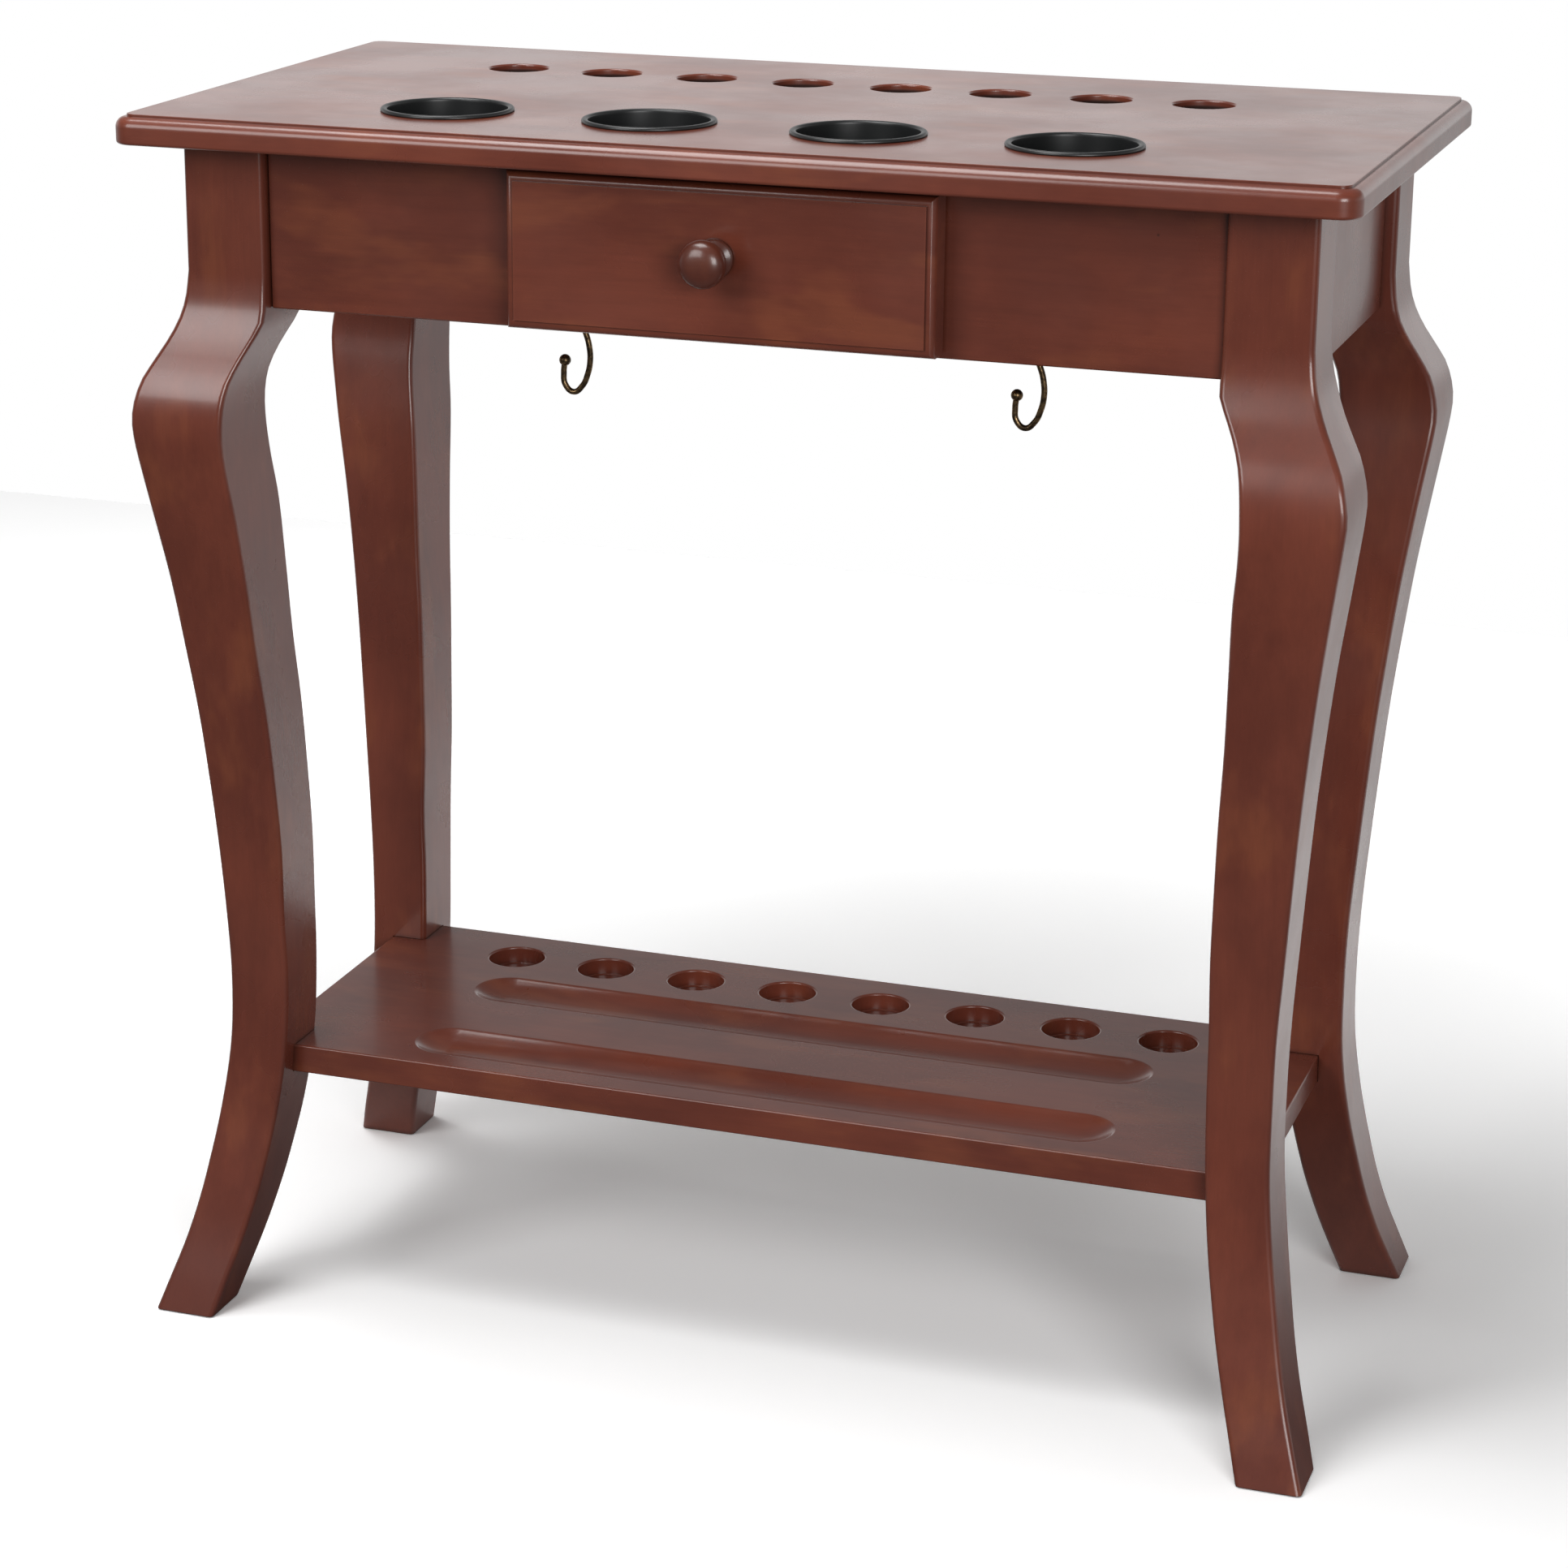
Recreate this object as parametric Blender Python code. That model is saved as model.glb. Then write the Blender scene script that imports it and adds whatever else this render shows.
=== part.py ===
"""Billiard cue stand: a small table on curved legs, with a lower shelf and one drawer.

Everything is laid out about the middle of the leg frame, X to the right, the drawer
facing -Y, +Z up from the floor.  The finished pieces are then moved back a little so
that the overall depth, knob included, is centred on the origin.
"""
import math

import bmesh
import bpy
from mathutils import Matrix, Vector

MM = 0.001

# ---- driving dimensions, in metres ----------------------------------------------
TOP_WIDTH = 838 * MM
TOP_DEPTH = 424 * MM
TOP_HEIGHT = 875 * MM
TOP_THICK = 20 * MM
SIDE_OVERHANG = 31.6 * MM
END_OVERHANG = 44.9 * MM
LEG_BLOCK = 58.3 * MM
LEG_BLOCK_HEIGHT = 90 * MM
APRON_DEPTH = 113.6 * MM
SHELF_TOP = 194.6 * MM
SHELF_THICK = 21 * MM
CUE_COLUMNS = 8
CUE_HOLE = 42.5 * MM
CUP_COUNT = 4
CUP_MOUTH = 83 * MM

# ---- fits -----------------------------------------------------------------------
JOINT_GAP = 0.3 * MM
PIN_GAP = 0.2 * MM
SLIDE_GAP = 1 * MM
TOOL_CLEAR = 5 * MM

# ---- table top ------------------------------------------------------------------
TOP_CORNER_RADIUS = 15 * MM
FIELD_INSET = 7.7 * MM
FIELD_STEP = 1.8 * MM
OVOLO = 7 * MM
TOP_UNDER_ROUND = 2.3 * MM
TOP_UNDERSIDE = TOP_HEIGHT - TOP_THICK
CUE_PITCH = 72 * MM
CUE_ROW_Y = TOP_DEPTH / 2 - 110.6 * MM
CUP_PITCH = 144.5 * MM
CUP_ROW_Y = 100.8 * MM - TOP_DEPTH / 2
HOLE_EASE = 1.2 * MM

# ---- leg frame ------------------------------------------------------------------
CORNERS = ((-1, -1), (1, -1), (1, 1), (-1, 1))
CORNER_NAMES = {(-1, -1): "front_left", (1, -1): "front_right", (1, 1): "back_right", (-1, 1): "back_left"}
FRAME_X = TOP_WIDTH / 2 - SIDE_OVERHANG
FRAME_Y = TOP_DEPTH / 2 - END_OVERHANG
LEG_EDGE = 3.5 * MM
LEG_CLEARANCE = 1 * MM
APRON_SET_IN = 9.1 * MM
APRON_TOP = TOP_UNDERSIDE - JOINT_GAP
APRON_BOTTOM = TOP_UNDERSIDE - APRON_DEPTH
APRON_THICK = 19 * MM
FRONT_APRON_THICK = 15 * MM
TENON_LENGTH = 20 * MM
TENON_THICK = 8 * MM
TENON_SHOULDER = 12 * MM
BOARD_EDGE = 1 * MM
LEG_INNER_X = FRAME_X - LEG_BLOCK
LEG_INNER_Y = FRAME_Y - LEG_BLOCK
SIDE_INNER = FRAME_X - APRON_SET_IN - APRON_THICK
FRONT_FACE = FRAME_Y - APRON_SET_IN
FRONT_INNER = FRONT_FACE - FRONT_APRON_THICK
BACK_INNER = FRONT_FACE - APRON_THICK

# The leg's curve, in thousandths of its height from foot to block: how many millimetres
# the outer faces stand beyond the block along X and along Y, and how many the inner
# faces draw in from it along X and along Y. A face that draws in by less than nothing
# swells past the block.
LEG_STATIONS = (
    (0, 37.5, 37.5, 50.3, 50.3),
    (33, 29.3, 28.5, 43.1, 38),
    (65, 21.5, 19.5, 35.9, 28),
    (98, 15, 11.5, 29.3, 19),
    (131, 9.8, 4.5, 23.6, 11),
    (196, 1.2, -6.5, 14.9, -2.5),
    (261, -4.6, -13.8, 9.6, -9.7),
    (327, -5.7, -15.9, 7.7, -11.6),
    (392, -4.7, -13, 7.9, -12.2),
    (458, -1.6, -10.7, 7.1, -9.8),
    (523, 1.7, -6.5, 8.3, -7.2),
    (588, 5.4, -1.1, 10.2, -4.1),
    (654, 10.3, 6.2, 13.4, -0.1),
    (719, 15.9, 13.3, 15.5, 3.2),
    (784, 22.9, 22.6, 17.9, 6.8),
    (824, 27.4, 28.1, 20.9, 10.9),
    (850, 30.2, 31, 21.9, 13.9),
    (869, 31.4, 31.3, 21.5, 16.5),
    (886, 29.8, 30, 20.6, 17.5),
    (905, 25.6, 25.6, 18.2, 16.5),
    (923, 18.4, 18.4, 13.2, 12.5),
    (941, 11, 11, 6.5, 6.3),
    (958, 5.5, 5.5, 0.3, 0.3),
    (976, 2, 2, 0, 0),
    (1000, 0, 0, 0, 0),
)

# ---- shelf ----------------------------------------------------------------------
SHELF_X = FRAME_X - 21.7 * MM
SHELF_Y = FRAME_Y - 31.3 * MM
SHELF_BOTTOM = SHELF_TOP - SHELF_THICK
SHELF_MIDDLE = SHELF_TOP - SHELF_THICK / 2
SOCKET_PITCH = 73.4 * MM
SOCKET_Y = SHELF_Y - 46.4 * MM
SOCKET_DEPTH = 13 * MM
TROUGH_LENGTH = 521.9 * MM
TROUGH_WIDTH = 50.9 * MM
TROUGH_DEPTH = 8 * MM
TROUGH_ROWS_Y = (45.6 * MM - SHELF_Y, 21.3 * MM)
DOWEL_RADIUS = 4 * MM
DOWEL_Y = SHELF_Y - 8.8 * MM
DOWEL_INSIDE = SHELF_X - 13.7 * MM
DOWEL_OUTSIDE = SHELF_X + 8.3 * MM

# ---- hooks and their rail -------------------------------------------------------
HOOK_X = 164.3 * MM
HOOK_Y = -17.3 * MM
HOOK_HANG = 74.5 * MM
HOOK_WIRE = 2.1 * MM
HOOK_BALL = 4.15 * MM
HOOK_IN_RAIL = 13.5 * MM
RAIL_WIDTH = 50 * MM
RAIL_THICK = 17.8 * MM
RAIL_BOTTOM = APRON_BOTTOM + 0.8 * MM
RAIL_TOP = RAIL_BOTTOM + RAIL_THICK
RAIL_HOUSING = 8 * MM

# ---- drawer ---------------------------------------------------------------------
DRAWER_FRONT_HALF = 146.7 * MM
DRAWER_FRONT_TOP = TOP_UNDERSIDE - 6 * MM
DRAWER_FRONT_BOTTOM = APRON_BOTTOM + 3.6 * MM
DRAWER_FRONT_THICK = 23 * MM
DRAWER_LIP = 6 * MM
DRAWER_STEP = 1.8 * MM
DRAWER_CORNER = 1.5 * MM
BUMPER_THICK = 3 * MM
BUMPER_RADIUS = 5 * MM
RUNNER_FOOT = 9.4 * MM
RUNNER_INSIDE = 130.5 * MM
RUNNER_OUTSIDE = 157 * MM
RUNNER_GUIDE = 20 * MM
BOX_HALF = 135 * MM
BOX_BOARD = 12 * MM
BOX_EDGE = 0.8 * MM
BOX_BOTTOM = RAIL_TOP + RUNNER_FOOT + 2 * JOINT_GAP
BOX_TOP = TOP_UNDERSIDE - 32 * MM
BOX_BACK = CUE_ROW_Y - CUE_HOLE / 2 - 8.1 * MM
PANEL_THICK = 4 * MM
PANEL_Z = BOX_BOTTOM + 8.3 * MM
PANEL_GROOVE = 6 * MM
OPENING_HALF = BOX_HALF + 3.5 * MM
OPENING_BOTTOM = BOX_BOTTOM - 6 * MM
OPENING_TOP = BOX_TOP + 3 * MM
BUMPER_X = 125 * MM
BUMPER_Z = (OPENING_TOP + DRAWER_FRONT_TOP) / 2
KNOB_Z = TOP_UNDERSIDE - 53.5 * MM
KNOB_REACH = 34 * MM
BOX_FRONT_FACE = -FRONT_FACE - BUMPER_THICK
DRAWER_FACE = BOX_FRONT_FACE - JOINT_GAP - DRAWER_FRONT_THICK
DRAWER_PIVOT = (0, BOX_FRONT_FACE, KNOB_Z)
FRONT_SCREW_X = 90 * MM
SCREW_BITE = 13 * MM

# ---- cups -----------------------------------------------------------------------
CUP_WALL = 1.6 * MM
CUP_MOUTH_RADIUS = CUP_MOUTH / 2
CUP_OUTER_RADIUS = CUP_MOUTH_RADIUS + 0.6 * MM
CUP_FLANGE_RADIUS = CUP_MOUTH_RADIUS + 3.5 * MM
CUP_FLANGE_THICK = 2.3 * MM
CUP_BOTTOM = BOX_TOP + 12 * MM
CUP_LEDGE_Z = TOP_UNDERSIDE
CUP_HOLE_RADIUS = CUP_OUTER_RADIUS + 0.4 * MM
SCALLOP_RADIUS = CUP_OUTER_RADIUS + 1 * MM

# ---- corner blocks and fasteners ------------------------------------------------
BLOCK_LOW = APRON_TOP - 49.7 * MM
BLOCK_SPAN = 19.8 * MM
BOLT_Z = TOP_UNDERSIDE - 25 * MM
BOLT_RADIUS = 3 * MM
BOLT_IN_LEG = 26 * MM
SCREW_X = LEG_INNER_X - 29.1 * MM
SCREW_Y = LEG_INNER_Y + 15.2 * MM
SCREW_RADIUS = 2.2 * MM
GLIDE_RADIUS = 13 * MM
GLIDE_THICK = 2.5 * MM
GLIDE_PIN = 12 * MM

# The knob reaches further forward than the top does behind.
SET_BACK = (KNOB_REACH - DRAWER_FACE - TOP_DEPTH / 2) / 2


# ---- materials ------------------------------------------------------------------
def make_material(name, colour, roughness, metallic=0.0):
    """A Principled material with a plain colour."""
    material = bpy.data.materials.new(name)
    material.use_nodes = True
    shader = material.node_tree.nodes["Principled BSDF"]
    shader.inputs["Base Color"].default_value = (*colour, 1.0)
    shader.inputs["Roughness"].default_value = roughness
    shader.inputs["Metallic"].default_value = metallic
    material.diffuse_color = (*colour, 1.0)
    return material


def stained_wood():
    """Dark red-brown stain under a satin lacquer."""
    return make_material("stained_wood", (0.13, 0.04, 0.022), 0.32)


def knob_wood():
    """The same stain, darker and glossier on the turned knob."""
    return make_material("knob_wood", (0.07, 0.02, 0.012), 0.2)


def pale_wood():
    """Unstained wood of the drawer box and the pieces nobody sees."""
    return make_material("pale_wood", (0.42, 0.27, 0.15), 0.55)


def cup_plastic():
    """Black moulded plastic."""
    return make_material("cup_plastic", (0.012, 0.013, 0.014), 0.38)


def hook_brass():
    """Darkened brass wire."""
    return make_material("hook_brass", (0.23, 0.16, 0.08), 0.35, 1.0)


def fastener_steel():
    """Zinc-plated steel."""
    return make_material("fastener_steel", (0.55, 0.56, 0.58), 0.38, 1.0)


def bumper_rubber():
    """Dark rubber."""
    return make_material("bumper_rubber", (0.03, 0.03, 0.03), 0.85)


def glide_plastic():
    """Hard grey-brown plastic of the foot glides."""
    return make_material("glide_plastic", (0.2, 0.17, 0.14), 0.5)


# ---- shape helpers --------------------------------------------------------------
def finish(name, shape, material, pivot=None, round_angle=None):
    """Make one named piece from a closed shape, set back so the depth is centred."""
    bmesh.ops.recalc_face_normals(shape, faces=shape.faces)
    bmesh.ops.translate(shape, verts=shape.verts, vec=(0, SET_BACK, 0))
    origin = Vector(pivot) + Vector((0, SET_BACK, 0)) if pivot else Vector((0, 0, 0))
    bmesh.ops.translate(shape, verts=shape.verts, vec=-origin)
    mesh = bpy.data.meshes.new(name)
    shape.to_mesh(mesh)
    shape.free()
    mesh.materials.append(material)
    piece = bpy.data.objects.new(name, mesh)
    piece.location = origin
    bpy.context.scene.collection.objects.link(piece)
    if round_angle:
        mesh.shade_smooth()
        mesh.set_sharp_from_angle(angle=math.radians(round_angle))
    return piece


def combine(shape, tools, operation):
    """Cut tools out of a shape, or join them to it; the tools are used up."""
    scene = bpy.context.scene
    base = bpy.data.objects.new("base", bpy.data.meshes.new("base"))
    bmesh.ops.recalc_face_normals(shape, faces=shape.faces)
    shape.to_mesh(base.data)
    shape.free()
    scene.collection.objects.link(base)
    helpers = []
    for tool in tools:
        helper = bpy.data.objects.new("tool", bpy.data.meshes.new("tool"))
        bmesh.ops.recalc_face_normals(tool, faces=tool.faces)
        tool.to_mesh(helper.data)
        tool.free()
        scene.collection.objects.link(helper)
        modifier = base.modifiers.new("combine", "BOOLEAN")
        modifier.operation = operation
        modifier.solver = "EXACT"
        modifier.object = helper
        helpers.append(helper)
    bpy.context.view_layer.update()
    result = bmesh.new()
    result.from_object(base, bpy.context.evaluated_depsgraph_get())
    for helper in helpers + [base]:
        bpy.data.objects.remove(helper)
    return result


def cut(shape, tools):
    """Cut tools out of a shape."""
    return combine(shape, tools, "DIFFERENCE")


def join(shape, tools):
    """Join overlapping tools to a shape."""
    return combine(shape, tools, "UNION")


def box(low, high, edge=0.0):
    """A block between two corners, its edges planed off a little."""
    shape = bmesh.new()
    bmesh.ops.create_cube(shape, size=1.0)
    size = Vector(high) - Vector(low)
    middle = (Vector(high) + Vector(low)) / 2
    bmesh.ops.scale(shape, verts=shape.verts, vec=size)
    bmesh.ops.translate(shape, verts=shape.verts, vec=middle)
    if edge:
        bmesh.ops.bevel(shape, geom=shape.edges[:], offset=edge, segments=1, affect="EDGES")
    return shape


def span(a, b):
    """Two numbers in rising order."""
    return (a, b) if a < b else (b, a)


def box_between(x_range, y_range, z_range, edge=0.0):
    """A block given by its reach along each axis, in any order."""
    x_low, x_high = span(*x_range)
    y_low, y_high = span(*y_range)
    z_low, z_high = span(*z_range)
    return box((x_low, y_low, z_low), (x_high, y_high, z_high), edge)


def skin(rings):
    """A closed skin through rings of points; a ring of one point is a tip."""
    shape = bmesh.new()
    loops = []
    for ring in rings:
        loops.append([shape.verts.new(point) for point in ring])
    for lower, upper in zip(loops, loops[1:]):
        count = max(len(lower), len(upper))
        for i in range(count):
            j = (i + 1) % count
            if len(lower) == 1:
                shape.faces.new((lower[0], upper[j], upper[i]))
            elif len(upper) == 1:
                shape.faces.new((lower[i], lower[j], upper[0]))
            else:
                shape.faces.new((lower[i], lower[j], upper[j], upper[i]))
    for end in (loops[0], loops[-1]):
        if len(end) > 1:
            shape.faces.new(end)
    return shape


def prism(outline, z_low, z_high):
    """An upright solid of a plan outline."""
    return skin([[(x, y, z) for x, y in outline] for z in (z_low, z_high)])


def rounded_rectangle(x_range, y_range, radius, z, steps):
    """A level rectangle with rounded corners."""
    x_low, x_high = span(*x_range)
    y_low, y_high = span(*y_range)
    centres = (
        (x_high - radius, y_high - radius),
        (x_low + radius, y_high - radius),
        (x_low + radius, y_low + radius),
        (x_high - radius, y_low + radius),
    )
    ring = []
    for quarter, (x, y) in enumerate(centres):
        for step in range(steps + 1):
            angle = (quarter + step / steps) * math.pi / 2
            ring.append((x + radius * math.cos(angle), y + radius * math.sin(angle), z))
    return ring


def turned(profile, centre, axis, sides=32, hexagon=()):
    """A solid of revolution: profile rows of radius and distance along the axis.

    Rows whose position in the profile is listed in hexagon are six-sided instead.
    """
    axis = Vector(axis).normalized()
    across = axis.orthogonal().normalized()
    other = axis.cross(across)
    rings = []
    for row, (radius, distance) in enumerate(profile):
        middle = Vector(centre) + axis * distance
        if radius == 0:
            rings.append([middle])
            continue
        ring = []
        for i in range(sides):
            angle = 2 * math.pi * i / sides
            reach = radius
            if row in hexagon:
                sixth = math.pi / 3
                reach = radius / math.cos((angle + sixth / 2) % sixth - sixth / 2)
            ring.append(middle + across * reach * math.cos(angle) + other * reach * math.sin(angle))
        rings.append(ring)
    return skin(rings)


def drill(radius, start, axis, length, sides=24):
    """A round tool for drilling a hole."""
    return turned(((radius, 0), (radius, length)), start, axis, sides)


def smooth_between(rows, height):
    """Read a value off a smooth curve through rows of height and value."""
    for i in range(len(rows) - 2):
        if height < rows[i + 1][0]:
            break
    else:
        i = len(rows) - 2

    def slope(k):
        low = rows[max(k - 1, 0)]
        high = rows[min(k + 1, len(rows) - 1)]
        return (high[1] - low[1]) / (high[0] - low[0])

    h0, v0 = rows[i]
    h1, v1 = rows[i + 1]
    width = h1 - h0
    t = (height - h0) / width
    value = v0 * (1 + 2 * t) * (1 - t) ** 2 + v1 * t * t * (3 - 2 * t)
    return value + width * (slope(i) * t * (1 - t) ** 2 - slope(i + 1) * t * t * (1 - t))


# ---- table top ------------------------------------------------------------------
def cue_xs(pitch):
    """Left-to-right places of the cue holes."""
    return [(i - (CUE_COLUMNS - 1) / 2) * pitch for i in range(CUE_COLUMNS)]


def cup_xs():
    """Left-to-right places of the cups."""
    return [(i - (CUP_COUNT - 1) / 2) * CUP_PITCH for i in range(CUP_COUNT)]


def cup_scallops():
    """Tools that clear the cups out of the pieces under the top."""
    low = CUP_BOTTOM - SLIDE_GAP
    height = TOP_UNDERSIDE - low + SLIDE_GAP
    return [drill(SCALLOP_RADIUS, (x, CUP_ROW_Y, low), (0, 0, 1), height, 48) for x in cup_xs()]


def eased_hole(radius, x, y, z_top, depth, sides):
    """A tool for an upright hole with its rim rounded over."""
    profile = [(radius, -depth)]
    for step in range(3):
        angle = step / 2 * math.pi / 2
        rim = radius + HOLE_EASE * (1 - math.cos(angle))
        profile.append((rim, HOLE_EASE * (math.sin(angle) - 1)))
    profile.append((radius + HOLE_EASE, HOLE_EASE))
    return turned(profile, (x, y, z_top), (0, 0, 1), sides)


def tabletop(wood):
    """The top: a flat field one small step above a rounded border, drilled for cues and cups."""
    rows = []
    for step in range(3):
        angle = step / 2 * math.pi / 2
        inset = TOP_UNDER_ROUND * (1 - math.sin(angle))
        rows.append((inset, TOP_UNDERSIDE + TOP_UNDER_ROUND * (1 - math.cos(angle))))
    border = TOP_HEIGHT - FIELD_STEP
    for step in range(5):
        angle = step / 4 * math.pi / 2
        rows.append((OVOLO * (1 - math.cos(angle)), border - OVOLO * (1 - math.sin(angle))))
    rows.append((FIELD_INSET, border))
    rows.append((FIELD_INSET, TOP_HEIGHT))
    rings = []
    for inset, z in rows:
        half_x = TOP_WIDTH / 2 - inset
        half_y = TOP_DEPTH / 2 - inset
        radius = TOP_CORNER_RADIUS - inset
        rings.append(rounded_rectangle((-half_x, half_x), (-half_y, half_y), radius, z, 4))
    tools = []
    for x in cue_xs(CUE_PITCH):
        tools.append(eased_hole(CUE_HOLE / 2, x, CUE_ROW_Y, TOP_HEIGHT, TOP_THICK + HOLE_EASE, 24))
    for x in cup_xs():
        low = (x, CUP_ROW_Y, TOP_UNDERSIDE - HOLE_EASE)
        tools.append(drill(CUP_HOLE_RADIUS, low, (0, 0, 1), TOP_THICK + 2 * HOLE_EASE, 32))
    for side_x, side_y in CORNERS:
        low = (side_x * SCREW_X, side_y * SCREW_Y, TOP_UNDERSIDE - HOLE_EASE)
        tools.append(drill(SCREW_RADIUS + PIN_GAP, low, (0, 0, 1), HOLE_EASE + SCREW_BITE + PIN_GAP, 12))
    finish("tabletop", cut(skin(rings), tools), wood, round_angle=35)


# ---- legs -----------------------------------------------------------------------
def leg_heights():
    """Heights of the leg's sections, closer together round the knee."""
    curve = TOP_UNDERSIDE - LEG_BLOCK_HEIGHT
    shares = [i / 21 for i in range(1, 17)]
    shares += [0.78 + 0.22 * i / 13 for i in range(14)]
    return [LEG_CLEARANCE] + [share * curve for share in shares] + [APRON_TOP]


def leg_faces(share):
    """How far each face stands off the block: outer X, outer Y, inner X and inner Y."""
    columns = zip(*LEG_STATIONS)
    shares = next(columns)
    return [smooth_between(list(zip(shares, column)), share) * MM for column in columns]


def leg_shape(side_x, side_y):
    """One curved leg: four-sided sections that swell at the knee and sweep out at the foot."""
    curve = TOP_UNDERSIDE - LEG_BLOCK_HEIGHT
    rings = []
    for height in leg_heights():
        out_x, out_y, in_x, in_y = leg_faces(min(height / curve, 1) * 1000)
        x_range = (side_x * (LEG_INNER_X + in_x), side_x * (FRAME_X + out_x))
        y_range = (side_y * (LEG_INNER_Y + in_y), side_y * (FRAME_Y + out_y))
        rings.append(rounded_rectangle(x_range, y_range, LEG_EDGE, height, 2))
    return skin(rings)


def leg(side_x, side_y, wood):
    """A leg with its mortises, its shelf notch and its fastener holes."""
    end_face = FRONT_FACE - (FRONT_APRON_THICK if side_y < 0 else APRON_THICK) / 2
    side_face = SIDE_INNER + APRON_THICK / 2
    half = TENON_THICK / 2 + PIN_GAP
    mortise = (APRON_BOTTOM + TENON_SHOULDER - PIN_GAP, APRON_TOP - TENON_SHOULDER + PIN_GAP)
    depth = TENON_LENGTH + PIN_GAP
    foot_x, foot_y = foot_centre(side_x, side_y)
    tools = [
        box_between(
            (side_x * (LEG_INNER_X - TOOL_CLEAR), side_x * (LEG_INNER_X + depth)),
            (side_y * (end_face - half), side_y * (end_face + half)),
            mortise,
        ),
        box_between(
            (side_x * (side_face - half), side_x * (side_face + half)),
            (side_y * (LEG_INNER_Y - TOOL_CLEAR), side_y * (LEG_INNER_Y + depth)),
            mortise,
        ),
        box_between(
            (side_x * (SHELF_X - LEG_BLOCK), side_x * (SHELF_X + JOINT_GAP)),
            (side_y * (SHELF_Y - LEG_BLOCK), side_y * (SHELF_Y + JOINT_GAP)),
            (SHELF_BOTTOM - JOINT_GAP, SHELF_TOP + JOINT_GAP),
        ),
        drill(
            DOWEL_RADIUS + PIN_GAP,
            (side_x * SHELF_X, side_y * DOWEL_Y, SHELF_MIDDLE),
            (side_x, 0, 0),
            DOWEL_OUTSIDE - SHELF_X + PIN_GAP,
            16,
        ),
        drill(
            BOLT_RADIUS + PIN_GAP,
            (side_x * (LEG_INNER_X - TOOL_CLEAR), side_y * (LEG_INNER_Y - TOOL_CLEAR), BOLT_Z),
            (side_x, side_y, 0),
            TOOL_CLEAR * math.sqrt(2) + BOLT_IN_LEG + PIN_GAP,
            16,
        ),
        drill(
            GLIDE_RADIUS + PIN_GAP,
            (foot_x, foot_y, -TOOL_CLEAR),
            (0, 0, 1),
            TOOL_CLEAR + GLIDE_THICK + PIN_GAP,
            16,
        ),
        drill(SCREW_RADIUS + PIN_GAP, (foot_x, foot_y, 0), (0, 0, 1), GLIDE_THICK + GLIDE_PIN + PIN_GAP, 12),
    ]
    name = "leg_" + CORNER_NAMES[(side_x, side_y)]
    finish(name, cut(leg_shape(side_x, side_y), tools), wood, round_angle=28)


def foot_centre(side_x, side_y):
    """Middle of a leg's foot on the floor."""
    out_x, out_y, in_x, in_y = leg_faces(0)
    centre_x = (LEG_INNER_X + in_x + FRAME_X + out_x) / 2
    centre_y = (LEG_INNER_Y + in_y + FRAME_Y + out_y) / 2
    return side_x * centre_x, side_y * centre_y


def foot_glide(side_x, side_y, plastic):
    """A nailed-in glide that keeps the foot off the floor."""
    pin = SCREW_RADIUS
    top = GLIDE_THICK + GLIDE_PIN
    profile = (
        (GLIDE_RADIUS - 1 * MM, 0),
        (GLIDE_RADIUS, 1 * MM),
        (GLIDE_RADIUS, GLIDE_THICK),
        (pin, GLIDE_THICK),
        (pin, top - 2 * MM),
        (pin * 0.4, top),
    )
    name = "foot_glide_" + CORNER_NAMES[(side_x, side_y)]
    finish(name, turned(profile, (*foot_centre(side_x, side_y), 0), (0, 0, 1), 16), plastic, round_angle=35)


# ---- aprons and corner blocks ---------------------------------------------------
def end_apron(side_y, thick, tools):
    """A front or back apron between the legs, with a tenon into each."""
    face = side_y * FRONT_FACE
    inner = side_y * (FRONT_FACE - thick)
    reach = LEG_INNER_X - JOINT_GAP
    shape = box_between((-reach, reach), (face, inner), (APRON_BOTTOM, APRON_TOP), BOARD_EDGE)
    middle = (face + inner) / 2
    tenon = box_between(
        (-LEG_INNER_X - TENON_LENGTH, LEG_INNER_X + TENON_LENGTH),
        (middle - TENON_THICK / 2, middle + TENON_THICK / 2),
        (APRON_BOTTOM + TENON_SHOULDER, APRON_TOP - TENON_SHOULDER),
    )
    shape = join(shape, [tenon])
    return cut(shape, tools) if tools else shape


def front_apron(wood):
    """The front apron, open for the drawer and hollowed behind the cups."""
    tools = [
        box_between(
            (-OPENING_HALF, OPENING_HALF),
            (-FRONT_FACE - TOOL_CLEAR, -FRONT_INNER + TOOL_CLEAR),
            (OPENING_BOTTOM, OPENING_TOP),
        )
    ]
    tools.extend(cup_scallops())
    finish("apron_front", end_apron(-1, FRONT_APRON_THICK, tools), wood, round_angle=35)


def back_apron(wood):
    """The plain back apron."""
    finish("apron_back", end_apron(1, APRON_THICK, []), wood)


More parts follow.
